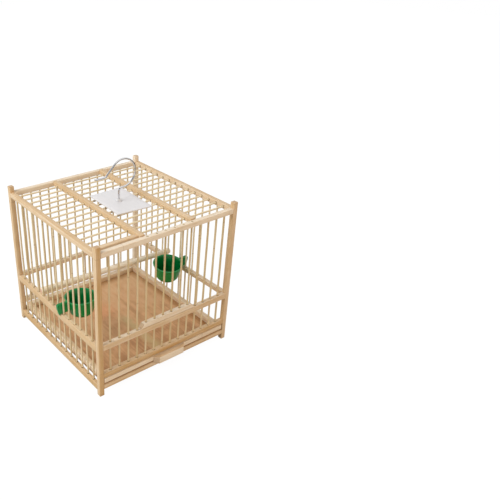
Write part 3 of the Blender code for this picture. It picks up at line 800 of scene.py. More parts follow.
posts = [make_post(side_x, side_y) for side_x in ("left", "right") for side_y in ("front", "back")]
print("Posts:", [post.name for post in posts])

# %% [markdown]
# ## Rails
#
# The rails lie between the posts, flush with their outer faces. The bottom rails hold the feet of the
# bars in blind holes, the bars pass through the mid rails, and their heads stop inside the top rails.
# The left and right top rails also take the ends of the roof rods, from the inside, and six bars of
# the door slide through the front one. The drill from below stays clear of the wall of a hole that
# goes through, because two surfaces in one place would confuse the Boolean.

# %% Rails with their holes
DOOR_GAP = 0.15 * MM
THROUGH = 14 * MM
CLEAR_OF_WALL = 0.06 * MM


def wall_line(name):
    """The places of the bars along a rail, as points on the wall's centre line."""
    if name.endswith(("front", "back")):
        y = WALL_LOW.y if name.endswith("front") else WALL_HIGH.y
        return [Vector((x, y, 0)) for x in FRONT_PLACES]
    x = WALL_LOW.x if name.endswith("left") else WALL_HIGH.x
    return [Vector((x, y, 0)) for y in SIDE_PLACES]


def raised(places, height):
    return [Vector((place.x, place.y, height)) for place in places]


def rod_places(x):
    """The rods' centres at one distance along them."""
    return [Vector((x, y, ROD_Z)) for y in SIDE_PLACES]


def drill_rail(rail, name, low, high):
    """The holes that belong to one rail."""
    places = wall_line(name)
    beside_door = places[:DOOR_START] + places[DOOR_END:]
    if name == "mid_rail_front":
        drill(rail, raised(beside_door, high.z), HOLE_DEPTH / 2)
        drill(rail, raised(places, low.z), HOLE_DEPTH / 2, turn=FROM_BELOW)
    elif name.startswith("mid_rail"):
        drill(rail, raised(places, high.z), THROUGH)
        drill(rail, raised(places, low.z), MOUTH_DEPTH * 2, HOLE_GAP - CLEAR_OF_WALL,
              MOUTH_FLARE + CLEAR_OF_WALL, FROM_BELOW)
    elif name.startswith("bottom_rail"):
        drill(rail, raised(places, high.z))
    elif name == "top_rail_front":
        drill(rail, raised(beside_door, low.z), turn=FROM_BELOW)
        drill(rail, raised(places[DOOR_START:DOOR_END], high.z), THROUGH, DOOR_GAP, 0)
    elif name.startswith("top_rail"):
        drill(rail, raised(places, low.z), HOLE_DEPTH / 2, turn=FROM_BELOW)
    if name == "top_rail_left":
        drill(rail, rod_places(high.x), turn=FROM_RIGHT)
    elif name == "top_rail_right":
        drill(rail, rod_places(low.x), turn=FROM_LEFT)


def make_rail(name):
    low, high = RAILS[name]
    axis = rail_axis(name)
    rail = dress(block(f"{name}_strip", low, high), STRIP_FINISH)
    add_tenons(rail, axis)
    drill_rail(rail, name, low, high)
    return finish_strip(rail, "frame", name, axis, RAIL_TONES[name])


rails = [make_rail(name) for name in RAILS]
print("Rails:", len(rails), "with", sum(len(rail.data.polygons) for rail in rails), "faces")

# %% [markdown]
# ## Bars
#
# A bar is a cylinder with loops where it enters a rail, so that the brown mark can fade out beside the
# rail. One bar is made for each wall and copied along the rail. Each copy then gets its own slight
# bow and its own tone, as split bamboo is never quite straight.

# %% Bars
BAR_SIDES = 12
BAR_STEP = 24 * MM
BAR_END_ROUND = 0.3 * MM
MARK_REACH = 1.0 * MM
ON_RING = 0.05 * MM
SEAT = 1.7 * MM
BOW = 0.9 * MM
DOOR_BOW = 0.2 * MM


def make_bar(low, high, hidden, loops=()):
    """An upright bar between two heights. The brown mark lies on the spans that wood hides."""
    bar = cylinder("bar", BAR_SIDES, BAR_RADIUS, low, high)
    round_edges(bar, at_heights(bar, low, high), BAR_END_ROUND, 1)
    heights = list(loops)
    for start, end in hidden:
        heights += [start, start - MARK_REACH, end, end + MARK_REACH]
    count = max(1, round((high - low) / BAR_STEP))
    heights += [low + (high - low) * index / count for index in range(1, count)]
    for height in heights:
        if low + 0.4 * MM < height < high - 0.4 * MM:
            cut_across(bar, height)
    write_attribute(bar, "mark", [any(start - ON_RING < height < end + ON_RING for start, end in hidden)
                                  for height in points_of(bar)[:, 2]])
    return bar


def dress_bar(bar, places, body, label, tone_range, direction=(0, 0, 1), turn=FROM_ABOVE, bow=BOW):
    """Copies a bar to its places and finishes every copy."""
    made = []
    for index, place in enumerate(places):
        twin = dress(copy_of(bar, f"{label}_{index + 1:02d}", place, turn), BAR_FINISH)
        uneven(twin, bow, "RGB_TO_XYZ")
        smooth(twin, 50)
        lay_grain(twin, direction, random.Random(twin.name + "tone").uniform(*tone_range))
        made.append(finish_piece(twin, body))
    discard(bar)
    return made


def glued_bars(label, side, levels, places, tone_range):
    """Bars that are glued into the lowest and the highest of some rails, and through one between them."""
    hidden = [[corner.z for corner in RAILS[f"{level}_rail_{side}"]] for level in levels]
    hidden[0][0] = hidden[0][1] - SEAT
    hidden[-1][1] = hidden[-1][0] + SEAT
    bar = make_bar(hidden[0][0], hidden[-1][1], hidden)
    return dress_bar(bar, places, "frame", label, tone_range)


for side, tones in (("back", (0.45, 0.80)), ("left", (0.40, 0.80)), ("right", (-0.10, 0.30))):
    made = glued_bars(f"{side}_wall_bar", side, ("bottom", "mid", "top"), wall_line(side), tones)
    print(side, "wall:", len(made), "bars of", len(made[0].data.polygons), "faces")

# %% [markdown]
# ## The front wall
#
# The front wall has a fixed lower grille, four fixed bars on each side of the door, and the door's
# own six bars. The fixed bars over the mid rail are nodes of their own in the frame.

# %% Front bars
front_line = wall_line("front")
lower_front = glued_bars("front_lower_bar", "front", ("bottom", "mid"), front_line, (0.60, 1.00))
upper_front = glued_bars("front_upper_bar", "front", ("mid", "top"),
                         front_line[:DOOR_START] + front_line[DOOR_END:], (0.70, 1.10))
for index, piece in enumerate(upper_front):
    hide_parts(f"front_bar_{index + 1}")
print("Front wall:", len(lower_front), "lower and", len(upper_front), "upper bars")

# %% [markdown]
# ## Roof
#
# Fourteen rods run from left to right, with their ends in the top rails. Two battens lie over them
# from front to back; the rods pass through the battens a little below the middle. Each batten ends in a
# tenon in the front and the back rail. A short strip fills the gap at the front left. Where a rod
# goes under the plate's left edge, it carries a dark spot of painted shadow.

# %% Roof rods, battens and strip
ROD_REACH = 2.8 * MM
# Each batten's tone for most faces, then for its top and bottom; the second is partly painted light and
# shade.
BATTEN_TONES = {"left": (0.58, 0.57), "right": (0.53, 0.58)}


def make_rods():
    """One upright rod is made like a bar, and laid down when it is copied."""
    half = (INNER_HIGH.x - INNER_LOW.x) / 2 + ROD_REACH
    middle = (INNER_HIGH.x + INNER_LOW.x) / 2
    plate_low, plate_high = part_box("roof_plate")
    plate_edge = plate_low.x - middle
    hidden = [(-half, ROD_REACH - half), (half - ROD_REACH, half)]
    for side in ("left", "right"):
        low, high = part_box(f"roof_batten_{side}")
        hidden.append((low.x - middle, high.x - middle))
    rod = make_bar(-half, half, hidden, [plate_edge, plate_edge - MARK_REACH])
    edge_ring = np.flatnonzero(np.abs(points_of(rod)[:, 2] - plate_edge) < ON_RING).tolist()
    rods = dress_bar(rod, rod_places(middle), "frame", "roof_rod_bar", (-0.05, 0.30), (1, 0, 0), FROM_RIGHT)
    for index, piece in enumerate(rods):
        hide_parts(f"roof_rod_{index + 1:02d}")
        # Painted shadow: a rod under the plate is darkened where the plate's left edge crosses it.
        if plate_low.y < SIDE_PLACES[index] < plate_high.y:
            for point in edge_ring:
                piece.data.attributes["mark"].data[point].value = 1.0
    return rods


def make_batten(side):
    node = f"roof_batten_{side}"
    low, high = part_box(node)
    low.y = INNER_LOW.y + SEAM
    high.y = INNER_HIGH.y - SEAM
    batten = dress(block(f"{node}_strip", low, high), STRIP_FINISH)
    add_tenons(batten, 1)
    drill(batten, rod_places(low.x), THROUGH, turn=FROM_LEFT)
    drill(batten, rod_places(high.x), MOUTH_DEPTH * 2, turn=FROM_RIGHT)
    return finish_strip(batten, "frame", node, 1, BATTEN_TONES[side])


rods = make_rods()
battens = [make_batten(side) for side in ("left", "right")]
roof_strip = dress(block("roof_strip_strip", *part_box("roof_strip")), STRIP_FINISH)
finish_strip(roof_strip, "frame", "roof_strip", 0, (0.36, 0.45), 0.12 * MM)
print("Roof:", len(rods), "rods and", len(battens), "battens")

# %% [markdown]
# ## The lifting door
#
# The door is a batten with six bars glued into it. Its ends are sawn back at a slant, so it doesn't
# catch on the posts. The bars slide through the front top rail, so the whole door lifts straight up.
# The batten starts as a block, and its upper end corners are moved in.

# %% Door
DOOR_SLIT = 0.35 * MM
DOOR_FOOT_GAP = 0.3 * MM
END_BAND = 0.6 * MM
door_points = node_points("door")
door_low, door_high = Vector(door_points.min(0)), Vector(door_points.max(0))
batten_points = door_points[np.abs(door_points[:, 1] - WALL_LOW.y) > BAR_RADIUS + 1 * MM]
DOOR_TOP = float(batten_points[:, 2].max())
DOOR_CUT = float(door_high.x - batten_points[batten_points[:, 2] > DOOR_TOP - NEAR][:, 0].max())
UPPER_PART = door_low.z + (DOOR_TOP - door_low.z) * 0.8


def saw_back(piece, ends, setback, test):
    """Moves in those points of both ends that pass a test, so that the ends slant."""
    for end in ends:
        move_points(piece, lambda vertex: abs(vertex.co.x - end) < END_BAND and test(vertex.co),
                    (math.copysign(setback, sum(ends) / 2 - end), 0, 0))


def make_door():
    batten = block("door_batten", door_low + Vector((0, 0, DOOR_SLIT)), (door_high.x, door_high.y, DOOR_TOP))
    dress(batten, STRIP_FINISH)
    saw_back(batten, (door_low.x, door_high.x), DOOR_CUT, lambda spot: spot.z > UPPER_PART)
    drill(batten, raised(front_line[DOOR_START:DOOR_END], DOOR_TOP))
    return finish_strip(batten, "door", "door", 0, (0.13, -0.08), 0.12 * MM)


door_batten = make_door()
hole_foot = DOOR_TOP - HOLE_DEPTH
bar = make_bar(hole_foot + DOOR_FOOT_GAP, float(door_high.z), [(hole_foot, DOOR_TOP)])
door_bars = dress_bar(bar, front_line[DOOR_START:DOOR_END], "door", "door_bar", (0.65, 1.05), bow=DOOR_BOW)
print(f"Door batten cut back {DOOR_CUT / MM:.1f} mm at its ends;", len(door_bars), "bars")

# %% [markdown]
# ## The tray
#
# The tray is a thin veneered board with strips glued round it. The veneer is a red-brown wood with a
# straight grain from front to back, with a redder patch and a straw-coloured streak, and painted shade
# darkens it along its right and back strips. Its cut edges show three plies. Two finishes on one board
# are two material slots, given to faces by the way that they face.

# %% Veneer and ply finishes
VENEER_LIGHT = shade(232, 196, 152)
VENEER_MID = shade(222, 176, 130)
VENEER_DARK = shade(182, 134, 92)
VENEER_RED = shade(238, 152, 104)
VENEER_STRAW = shade(204, 182, 132)
# Painted shade along the inner sides of the right and back strips.
EDGE_SHADE = shade(152, 108, 58)
RED_PATCH = Vector((-0.020, 0.034, 0.0))
RED_REACH = 46 * MM
STRAW_X = 1 * MM
STRAW_HALF = 16 * MM
STRAW_END = 12 * MM
EDGE_SHADE_REACH = 17 * MM
board_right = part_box("tray_strip_right")[0].x
board_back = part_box("tray_strip_back")[0].y


def veneer():
    finish = Finish("tray_veneer")
    grain = finish.attribute("grain", "Vector")
    place = finish.place()
    across = finish.part(place, "X")
    back = finish.part(place, "Y")
    figure = finish.noise(grain, (6, 55, 55), 3, 0.55, distortion=0.9)
    mottle = finish.noise(place, 48, 4, 0.6)
    streaks = finish.noise(grain, (18, 420, 420), 3, 0.6)
    pores = finish.noise(grain, (130, 3800, 3800), 2, 0.7)
    # The board is made lighter towards the back.
    tint = (figure - 0.5) * 0.9 + (mottle - 0.5) * 0.8 + (streaks - 0.5) * 0.7 + back * 2.2 + 0.44
    colour = finish.ramp(tint, (0.1, VENEER_DARK), (0.5, VENEER_MID), (0.95, VENEER_LIGHT))
    off_line = across - STRAW_X + (mottle - 0.5) * 0.02
    straw = 1 - off_line.maths("ABSOLUTE", off_line, 0.0).within(0.0, STRAW_HALF)
    straw = straw * (1 - back.within(-STRAW_END, STRAW_END))
    colour = finish.mix(straw * 0.75, colour, VENEER_STRAW)
    centred = finish.node("ShaderNodeVectorMath", "Value", {"operation": "DISTANCE"},
                          {0: place, 1: RED_PATCH})
    redness = (1 - centred.within(0.0, RED_REACH)) * mottle.within(0.2, 0.5)
    colour = finish.mix(redness * 0.8, colour, VENEER_RED)
    # Painted shade: the veneer darkens towards the right and the back strip.
    side_shade = across.within(board_right - EDGE_SHADE_REACH, board_right)
    edge_shade = side_shade.at_least(back.within(board_back - EDGE_SHADE_REACH, board_back))
    colour = finish.mix(edge_shade * (0.3 + mottle * 0.6), colour, EDGE_SHADE)
    colour = finish.mix(pores.within(0.56, 0.72) * 0.45, colour, VENEER_DARK)
    height = streaks * 0.4 - pores.within(0.52, 0.7) * 0.6
    return finish.surface(Base_Color=colour, Roughness=0.55 + (streaks - 0.5) * 0.2,
                          Normal=finish.bump(height, 0.0001, 0.5))


def ply_edge(base, thickness):
    """Three plies: two pale outer ones with their grain seen end on, and a dark middle one."""
    finish = Finish("ply_edge")
    place = finish.place()
    level = (finish.part(place, "Z") - base) * (1 / thickness)
    middle = level.within(0.27, 0.33) * (1 - level.within(0.67, 0.73))
    ends = finish.noise(place, (900, 900, 5200), 3, 0.7)
    colour = finish.mix(middle, shade(206, 170, 124), shade(138, 98, 64))
    colour = finish.mix(ends.within(0.5, 0.75) * 0.5, colour, shade(112, 78, 48))
    return finish.surface(Base_Color=colour, Roughness=0.75, Normal=finish.bump(ends, 0.0002, 0.6))


# %% Tray board
GRAIN_SKEW = 0.035
board_low, board_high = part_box("tray_floor")


def make_board():
    board = block("tray_board", board_low, board_high, edge=0.2 * MM, segments=1)
    divide(board, 0, 23)
    board.data.materials.append(veneer())
    board.data.materials.append(ply_edge(board_low.z, board_high.z - board_low.z))
    for face in board.data.polygons:
        face.material_index = 0 if abs(face.normal.z) > 0.8 else 1
    uneven(board, 0.25 * MM)
    smooth(board)
    lay_grain(board, (GRAIN_SKEW, 1, 0), 0.5)
    return finish_piece(board, "tray", ["tray_floor"])


board = make_board()
print("Board:", [round(size / MM, 1) for size in board.dimensions], "mm")

# %% Tray strips and pull
# Each tray piece's tone for most faces, then for its top and bottom; the second is partly painted light and
# shade.
TRAY_TONES = {"tray_front_strip": (0.17, 0.17), "tray_strip_left": (0.22, 0.42),
              "tray_strip_right": (0.38, 0.35), "tray_strip_back": (0.33, -0.05)}


def make_tray_strip(node):
    low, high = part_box(node)
    strip = dress(block(f"{node}_wood", low, high), STRIP_FINISH)
    axis = 0 if high.x - low.x > high.y - low.y else 1
    return finish_strip(strip, "tray", node, axis, TRAY_TONES[node])


def make_pull():
    """A block with both ends sawn back towards its front."""
    low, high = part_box("tray_pull")
    pull = dress(block("tray_pull_wood", low, high, edge=0.4 * MM), STRIP_FINISH)
    points = node_points("tray_pull")
    setback = high.x - float(points[points[:, 1] < low.y + NEAR][:, 0].max())
    saw_back(pull, (low.x, high.x), setback, lambda spot: spot.y < (low.y + high.y) / 2)
    return finish_strip(pull, "tray", "tray_pull", 0, (-0.02, 0.50), 0.12 * MM)


tray_strips = [make_tray_strip(node) for node in TRAY_TONES]
pull = make_pull()
print("Tray:", len(tray_strips), "strips and a pull", round(pull.dimensions.x / MM, 1), "mm wide")

# %% [markdown]
# ## The perch
#
# The perch is a turned dowel that lies on the two mid rails, a little askew. Its axis is measured from
# the frame. It starts as a cylinder, its ends are rounded by a bevel, and it is turned to its axis
# before its place goes into its mesh. Its end grain is pinker than its side.

# %% Perch
DOWEL_SIDES = 28
DOWEL_ROUND = 1.4 * MM
DOWEL_STEP = 12 * MM


def node_axis(node):
    """The ends and the radius of a long round node that runs roughly along X."""
    points = np.unique(np.round(node_points(node), 7), axis=0)
    reach = 0.5 * (points[:, 0].max() - points[:, 0].min())
    left = points[points[:, 0] < points[:, 0].min() + reach].mean(0)
    right = points[points[:, 0] > points[:, 0].max() - reach].mean(0)
    along = (right - left) / np.linalg.norm(right - left)
    middle = points.mean(0)
    steps = (points - middle) @ along
    radius = np.linalg.norm(points - middle - np.outer(steps, along), axis=1).max()
    return Vector(middle + steps.min() * along), Vector(middle + steps.max() * along), float(radius)


def dowel():
    finish = Finish("perch_dowel")
    grain = finish.attribute("grain", "Vector")
    fine = finish.noise(grain, (26, 2400, 2400), 3, 0.6)
    figure = finish.noise(grain, (7, 190, 190), 3, distortion=0.5)
    tint = (figure - 0.5) * 0.9 + (fine - 0.5) * 0.6 + 0.45
    colour = finish.ramp(tint, (0.1, shade(253, 246, 230)), (0.9, shade(245, 227, 198)))
    colour = finish.mix(finish.attribute("end_grain") * (0.6 + fine * 0.4), colour, shade(206, 150, 122))
    pecks = finish.noise(grain, (520, 900, 900)).within(0.66, 0.74)
    colour = finish.mix(pecks * 0.3, colour, FLECK)
    height = fine * 0.5 + figure * 0.4 - pecks * 0.6
    return finish.surface(Base_Color=colour, Roughness=0.55 + (figure - 0.5) * 0.2,
                          Normal=finish.bump(height, 0.00015, 0.6))


def make_perch():
    start, end, radius = node_axis("perch")
    length = (end - start).length
    perch = cylinder("perch_dowel", DOWEL_SIDES, radius, -length / 2, length / 2)
    round_edges(perch, at_heights(perch, -length / 2, length / 2), DOWEL_ROUND, 4)
    count = round(length / DOWEL_STEP)
    for index in range(1, count):
        cut_across(perch, length * (index / count - 0.5))
    write_attribute(perch, "end_grain", np.abs(points_of(perch)[:, 2]) > length / 2 - 0.2 * MM)
    turn = (end - start).to_track_quat("Z", "X").to_matrix().to_4x4()
    perch.data.transform(Matrix.Translation((start + end) / 2) @ turn)
    dress(perch, dowel())
    uneven(perch, 0.35 * MM)
    smooth(perch)
    lay_grain(perch, end - start, 0.5)
    print(f"Perch {length / MM:.1f} mm long, {2 * radius / MM:.1f} mm thick")
    return finish_piece(perch, "perch", ["perch"])


perch = make_perch()

# %% [markdown]
# ## The cups
#
# Each cup is one moulding of green plastic: a round bowl with a flared rim, and a tongue that passes
# between two bars and hooks over the mid rail. A profile could be spun, but a cone shows the steps
# better: its foot is rounded with one wide bevel, a band at the top is drawn out into the rim, and the
# top face is inset and pushed down to hollow it. The tongue is a block of its own, joined by a Boolean.

# %% Green plastic
def moulded_plastic():
    finish = Finish("green_plastic")
    place = finish.place()
    drift = finish.noise(place, 55)
    grainy = finish.noise(place, 1500)
    scuffs = finish.noise(place, (260, 260, 1400), 3, 0.65)
    colour = finish.mix(drift, shade(0, 126, 58), shade(0, 146, 70))
    colour = finish.mix(scuffs.within(0.60, 0.78) * 0.25, colour, shade(30, 165, 100))
    # Painted shade: the inside of the bowl is darker.
    colour = finish.mix(finish.attribute("hollow") * (0.35 + scuffs * 0.4), colour, shade(0, 88, 36))
    # Painted highlight: the rim is lighter.
    colour = finish.mix(finish.attribute("rim") * 0.3, colour, shade(60, 178, 118))
    height = grainy * 0.08 + drift * 1.5 - scuffs.within(0.62, 0.75) * 0.3
    return finish.surface(Base_Color=colour, Roughness=0.17 + scuffs.within(0.5, 0.75) * 0.2,
                          Normal=finish.bump(height, 0.0001, 0.3), Specular_IOR_Level=0.4)


CUP_FINISH = moulded_plastic()

# %% The bowl
CUP_SIDES = 64
CUP_RADIUS = 23.8 * MM
CUP_FOOT_RADIUS = 20.2 * MM
CUP_HEIGHT = 33.3 * MM
CUP_WALL = 1.4 * MM
CUP_FOOT_ROUND = 11.2 * MM
RIM_FLARE = 1.4 * MM
RIM_HEIGHT = 2.2 * MM
RIM_ROUND = 0.45 * MM


def wall_radius(height):
    """The bowl's outer radius at a height; its wall leans outwards from the foot to the rim."""
    share = (height - CUP_FOOT_ROUND) / (CUP_HEIGHT - RIM_HEIGHT - CUP_FOOT_ROUND)
    return CUP_FOOT_RADIUS + share * (CUP_RADIUS - CUP_FOOT_RADIUS)


def sink(drop, radius, next_radius):
    """Pushes the selected round face down and shrinks it to its next radius."""
    draw_out((0, 0, -drop))
    widen(next_radius / radius)


def make_bowl():
    clear_selection()
    bpy.ops.mesh.primitive_cone_add(vertices=CUP_SIDES, radius1=wall_radius(0),
                                    radius2=wall_radius(CUP_HEIGHT), depth=CUP_HEIGHT,
                                    location=(0, 0, CUP_HEIGHT / 2))
    bowl = bpy.context.object
    bpy.ops.object.transform_apply(location=True, rotation=True, scale=True)
    round_edges(bowl, at_heights(bowl, 0), CUP_FOOT_ROUND, 10)
    neck = CUP_HEIGHT - RIM_HEIGHT
    cut_across(bowl, neck)
    pick(bowl, "FACE", lambda face: abs(face.normal.z) < 0.5 and face.center.z > neck)
    bpy.ops.mesh.inset(thickness=0, depth=RIM_FLARE)
    leave()
    mouth = max(vertex.co.xy.length for vertex in bowl.data.vertices) - CUP_WALL
    pick(bowl, "FACE", lambda face: face.normal.z > 0.9 and face.center.xy.length < 1 * MM)
    bpy.ops.mesh.inset(thickness=wall_radius(CUP_HEIGHT) - mouth)
    sink(RIM_HEIGHT, mouth, CUP_RADIUS - CUP_WALL)
    bottom = wall_radius(CUP_WALL) - CUP_WALL
    sink(neck - CUP_WALL, CUP_RADIUS - CUP_WALL, bottom)
    leave()
    round_edges(bowl, at_heights(bowl, CUP_WALL, radius=bottom), CUP_FOOT_ROUND - CUP_WALL, 10)
    round_edges(bowl, at_heights(bowl, CUP_HEIGHT), RIM_ROUND, 3)
    # The hollow attribute marks the inside of the bowl for its painted shade.
    spots = [vertex.co for vertex in bowl.data.vertices]
    write_attribute(bowl, "hollow", [spot.xy.length < wall_radius(spot.z) - CUP_WALL * 0.5
                                     and CUP_WALL * 0.9 < spot.z < CUP_HEIGHT - 0.6 * MM for spot in spots])
    # The rim attribute marks the lip for its painted highlight.
    write_attribute(bowl, "rim", [spot.z > CUP_HEIGHT - RIM_ROUND * 1.2 for spot in spots])
    return bowl


# %% The tongue
CUP_REACH = 34.0 * MM
TONGUE_HALF = 2.5 * MM
TONGUE_HEIGHT = 17.0 * MM
TONGUE_RIM_DROP = 0.6 * MM
TONGUE_ROOT_SHARE = 0.4
TONGUE_REACH = 4.6 * MM
TONGUE_WAIST_SHARE = 0.6
HEAD_ROUND = 3.3 * MM
WAIST_ROUND = 2.2 * MM
LIP_GAP = 1.0 * MM
LIP_THICKNESS = 1.6 * MM
LIP_DROP = 2.0 * MM
LIP_TAPER = 0.7 * MM


def make_tongue():
    """The tongue points along +X from the bowl's wall; its underside is level with the rail's top."""
    lip = CUP_REACH + STOCK / 2 + LIP_GAP
    lip_end = lip + LIP_THICKNESS
    tip = CUP_REACH + STOCK / 2 + TONGUE_REACH
    head = CUP_HEIGHT - TONGUE_RIM_DROP
    foot = head - TONGUE_HEIGHT
    waist = foot + TONGUE_HEIGHT * TONGUE_WAIST_SHARE
    root = wall_radius(foot) - CUP_WALL * TONGUE_ROOT_SHARE
    tongue = cube("tongue", Vector((root, -TONGUE_HALF, foot)), Vector((lip_end, TONGUE_HALF, head)))
    move_points(tongue, lambda vertex: vertex.co.x < root + NEAR and vertex.co.z > foot + 1 * MM,
                (wall_radius(head) - wall_radius(foot), 0, 0))
    cut_across(tongue, lip, axis=0)
    pick(tongue, "FACE", lambda face: face.normal.z < -0.9 and face.center.x > lip)
    draw_out((0, 0, -LIP_DROP))
    leave()
    cut_across(tongue, waist)
    move_points(tongue, lambda vertex: vertex.co.x > lip_end - NEAR and vertex.co.z > waist - NEAR,
                (tip - lip_end, 0, 0))
    move_points(tongue, lambda vertex: vertex.co.x > lip_end - NEAR and vertex.co.z < foot - NEAR,
                (-LIP_TAPER, 0, 0))
    for height, width in ((head, HEAD_ROUND), (waist, WAIST_ROUND)):
        round_edges(tongue, lambda edge: all(spot.x > tip - NEAR and abs(spot.z - height) < NEAR
                                             for spot in ends_of(tongue, edge)), width, 5)
    apply(tongue, "BEVEL", width=0.6 * MM, segments=3, limit_method="ANGLE", angle_limit=math.radians(40))
    return tongue


# %% Each cup, hung from its tongue
CUP_BAY = 6
CUP_SHIFT = {"left": -3.2 * MM, "right": 0}
CUP_ROLL = {"left": math.radians(-2.2), "right": math.radians(7.3)}
CUP_SAG = {"left": 0, "right": math.radians(2.8)}
CUP_REST = 0.3 * MM


def make_cup(side):
    """Joins bowl and tongue, then hangs the cup on its rail between two bars."""
    sign = -1 if side == "left" else 1
    roll, sag = CUP_ROLL[side], CUP_SAG[side]
    cup = make_bowl()
    tongue = make_tongue()
    apply(cup, "BOOLEAN", operation="UNION", solver="EXACT", object=tongue)
    discard(tongue)
    weld(cup)
    cup.name = f"{side}_cup_moulding"
    lift = CUP_REST + TONGUE_HALF * math.sin(abs(roll)) + STOCK / 2 * math.sin(sag)
    wall = WALL_LOW.x if side == "left" else WALL_HIGH.x
    bay = (SIDE_PLACES[CUP_BAY - 1] + SIDE_PLACES[CUP_BAY]) / 2 + CUP_SHIFT[side]
    hang = Matrix.Translation((wall, bay, RAILS[f"mid_rail_{side}"][1].z + lift))
    hang @= Matrix.Rotation(-sag, 4, "Y") @ Matrix.Rotation(roll, 4, "X")
    hang @= Matrix.Translation((-sign * CUP_REACH, 0, TONGUE_HEIGHT + TONGUE_RIM_DROP - CUP_HEIGHT))
    if sign < 0:
        hang @= Matrix.Rotation(math.pi, 4, "Z")
    cup.data.transform(hang)
    dress(cup, CUP_FINISH)
    smooth(cup, 40)
    return finish_piece(cup, f"{side}_cup", [f"cup_{side}"])


for side in ("left", "right"):
    seen = points_of(make_cup(side))
    low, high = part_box(f"cup_{side}")
    gap = max(np.abs(seen.min(0) - np.array(low)).max(), np.abs(seen.max(0) - np.array(high)).max())
    print(f"{side} cup: within {gap / MM:.2f} mm of its node")

# %% [markdown]
# ## Plate, nuts and hook
#
# A light grey sheet lies on the roof rods and spreads the load of the hook. It is slightly wider at
# the right than at the left, as if cut with hand shears. Its corners are taken from the frame.

# %% Sheet metal finishes
def grey_sheet():
    finish = Finish("grey_sheet")
    place = finish.place()
    rolled = finish.noise(place, (1700, 60, 1700), 3, 0.6)
    clouds = finish.noise(place, 70, 3)
    scratches = finish.noise(place, (90, 3000, 3000), shift=(0.3, 0.1, 0))
    colour = finish.mix(clouds, shade(230, 228, 229), shade(240, 238, 239))
    colour = finish.mix(rolled.within(0.35, 0.8) * 0.3, colour, shade(218, 216, 218))
    colour = finish.mix(scratches.within(0.68, 0.78) * 0.3, colour, shade(180, 178, 180))
    height = rolled * 0.4 + clouds * 0.8 - scratches.within(0.66, 0.76) * 0.5
    return finish.surface(Base_Color=colour, Roughness=0.42 + (clouds - 0.5) * 0.25, Metallic=0.15,
                          Normal=finish.bump(height, 0.00008, 0.4))


def zinc():
    finish = Finish("zinc_plate")
    blur = finish.noise(finish.place(), 240)
    colour = finish.mix(blur, shade(244, 243, 242), shade(226, 225, 226))
    return finish.surface(Base_Color=colour, Roughness=0.42 + blur * 0.1, Metallic=0.35)


def bright_steel():
    finish = Finish("bright_steel")
    place = finish.place()
    drawn = finish.noise(place, 420, 3, 0.6)
    spots = finish.noise(place, 1500).within(0.66, 0.76)
    colour = finish.mix(drawn, shade(206, 205, 208), shade(232, 231, 232))
    colour = finish.mix(spots * 0.4, colour, shade(140, 134, 128))
    return finish.surface(Base_Color=colour, Metallic=1.0, Roughness=0.12 + (drawn - 0.5) * 0.10,
                          Normal=finish.bump(drawn * 0.7 + spots * 0.3, 0.00006, 0.4))


STEEL_FINISH = bright_steel()
ZINC_FINISH = zinc()

# %% Plates, washer and nuts
SHANK = centre("hook_nut_upper")
WIRE_RADIUS = 1.5 * MM
HOLE_RADIUS = WIRE_RADIUS + 0.3 * MM
HOLE_SIDES = 24


def finish_bored(part, node, body, material, amount=0):
    """Bores the wire's hole through a metal piece and finishes it."""
    low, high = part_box(node)
    cut(part, cylinder("bore", HOLE_SIDES, HOLE_RADIUS, low.z - 1 * MM, high.z + 1 * MM, SHANK.xy))
    dress(part, material)
    if amount:
        uneven(part, amount)
    smooth(part)
    return finish_piece(part, body, [node])


def make_plate():
    """A sheet whose corners are drawn to the four corners of its node."""
    low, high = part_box("roof_plate")
    plate = block("roof_plate_sheet", low, high, edge=0.2 * MM)
    divide(plate, 0, 7)
    points = points_of(plate)
    across = (points[:, 0] - low.x) / (high.x - low.x)
    along = (points[:, 1] - low.y) / (high.y - low.y)
    outline = node_points("roof_plate")
    shares = {(-1, -1): (1 - across) * (1 - along), (1, -1): across * (1 - along),
              (-1, 1): (1 - across) * along, (1, 1): across * along}
    corners = {way: outline[np.argmax(outline[:, :2] @ way)] for way in shares}
    for axis in (0, 1):
        points[:, axis] = sum(share * corners[way][axis] for way, share in shares.items())
    plate.data.vertices.foreach_set("co", points.astype(np.float32).ravel())
    return finish_bored(plate, "roof_plate", "frame", grey_sheet(), 0.3 * MM)


def make_clamp():
    clamp = block("clamp_plate_sheet", *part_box("clamp_plate"), edge=0.2 * MM)
    round_edges(clamp, runs_along(clamp, 2), 0.05 * MM, 1)
    return finish_bored(clamp, "clamp_plate", "frame", STEEL_FINISH)


def make_round_part(node, name, sides, edge):
    """A washer or a nut: a low cylinder with its edges broken."""
    low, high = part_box(node)
    size = high - low
    part = cylinder(name, sides, max(size.x, size.y) / 2, low.z, high.z, SHANK.xy)
    if sides == 6 and size.x > size.y:
        part.data.transform(Matrix.Translation(SHANK) @ Matrix.Rotation(math.radians(30), 4, "Z")
                            @ Matrix.Translation(-SHANK))
    round_edges(part, lambda edge: True, edge, 2)
    return finish_bored(part, node, "hook_assembly", ZINC_FINISH)


plate = make_plate()
clamp = make_clamp()
washer = make_round_part("hook_washer", "hook_washer_round", 32, 0.15 * MM)
nuts = [make_round_part(f"hook_nut_{which}", f"hook_nut_{which}_hexagon", 6, 0.25 * MM)
        for which in ("upper", "lower")]
print("Plate:", [round(size / MM, 1) for size in plate.dimensions], "mm")

# %% [markdown]
# ## The hook
#
# The hook is one length of wire, bent cold round pegs. It is modelled in the same order: a disc is
# drawn out along a straight run, then spun about the peg's centre for a bend, and so on to the tip.
# A curve with a round section would look the same, but the spins keep every bend a true arc.

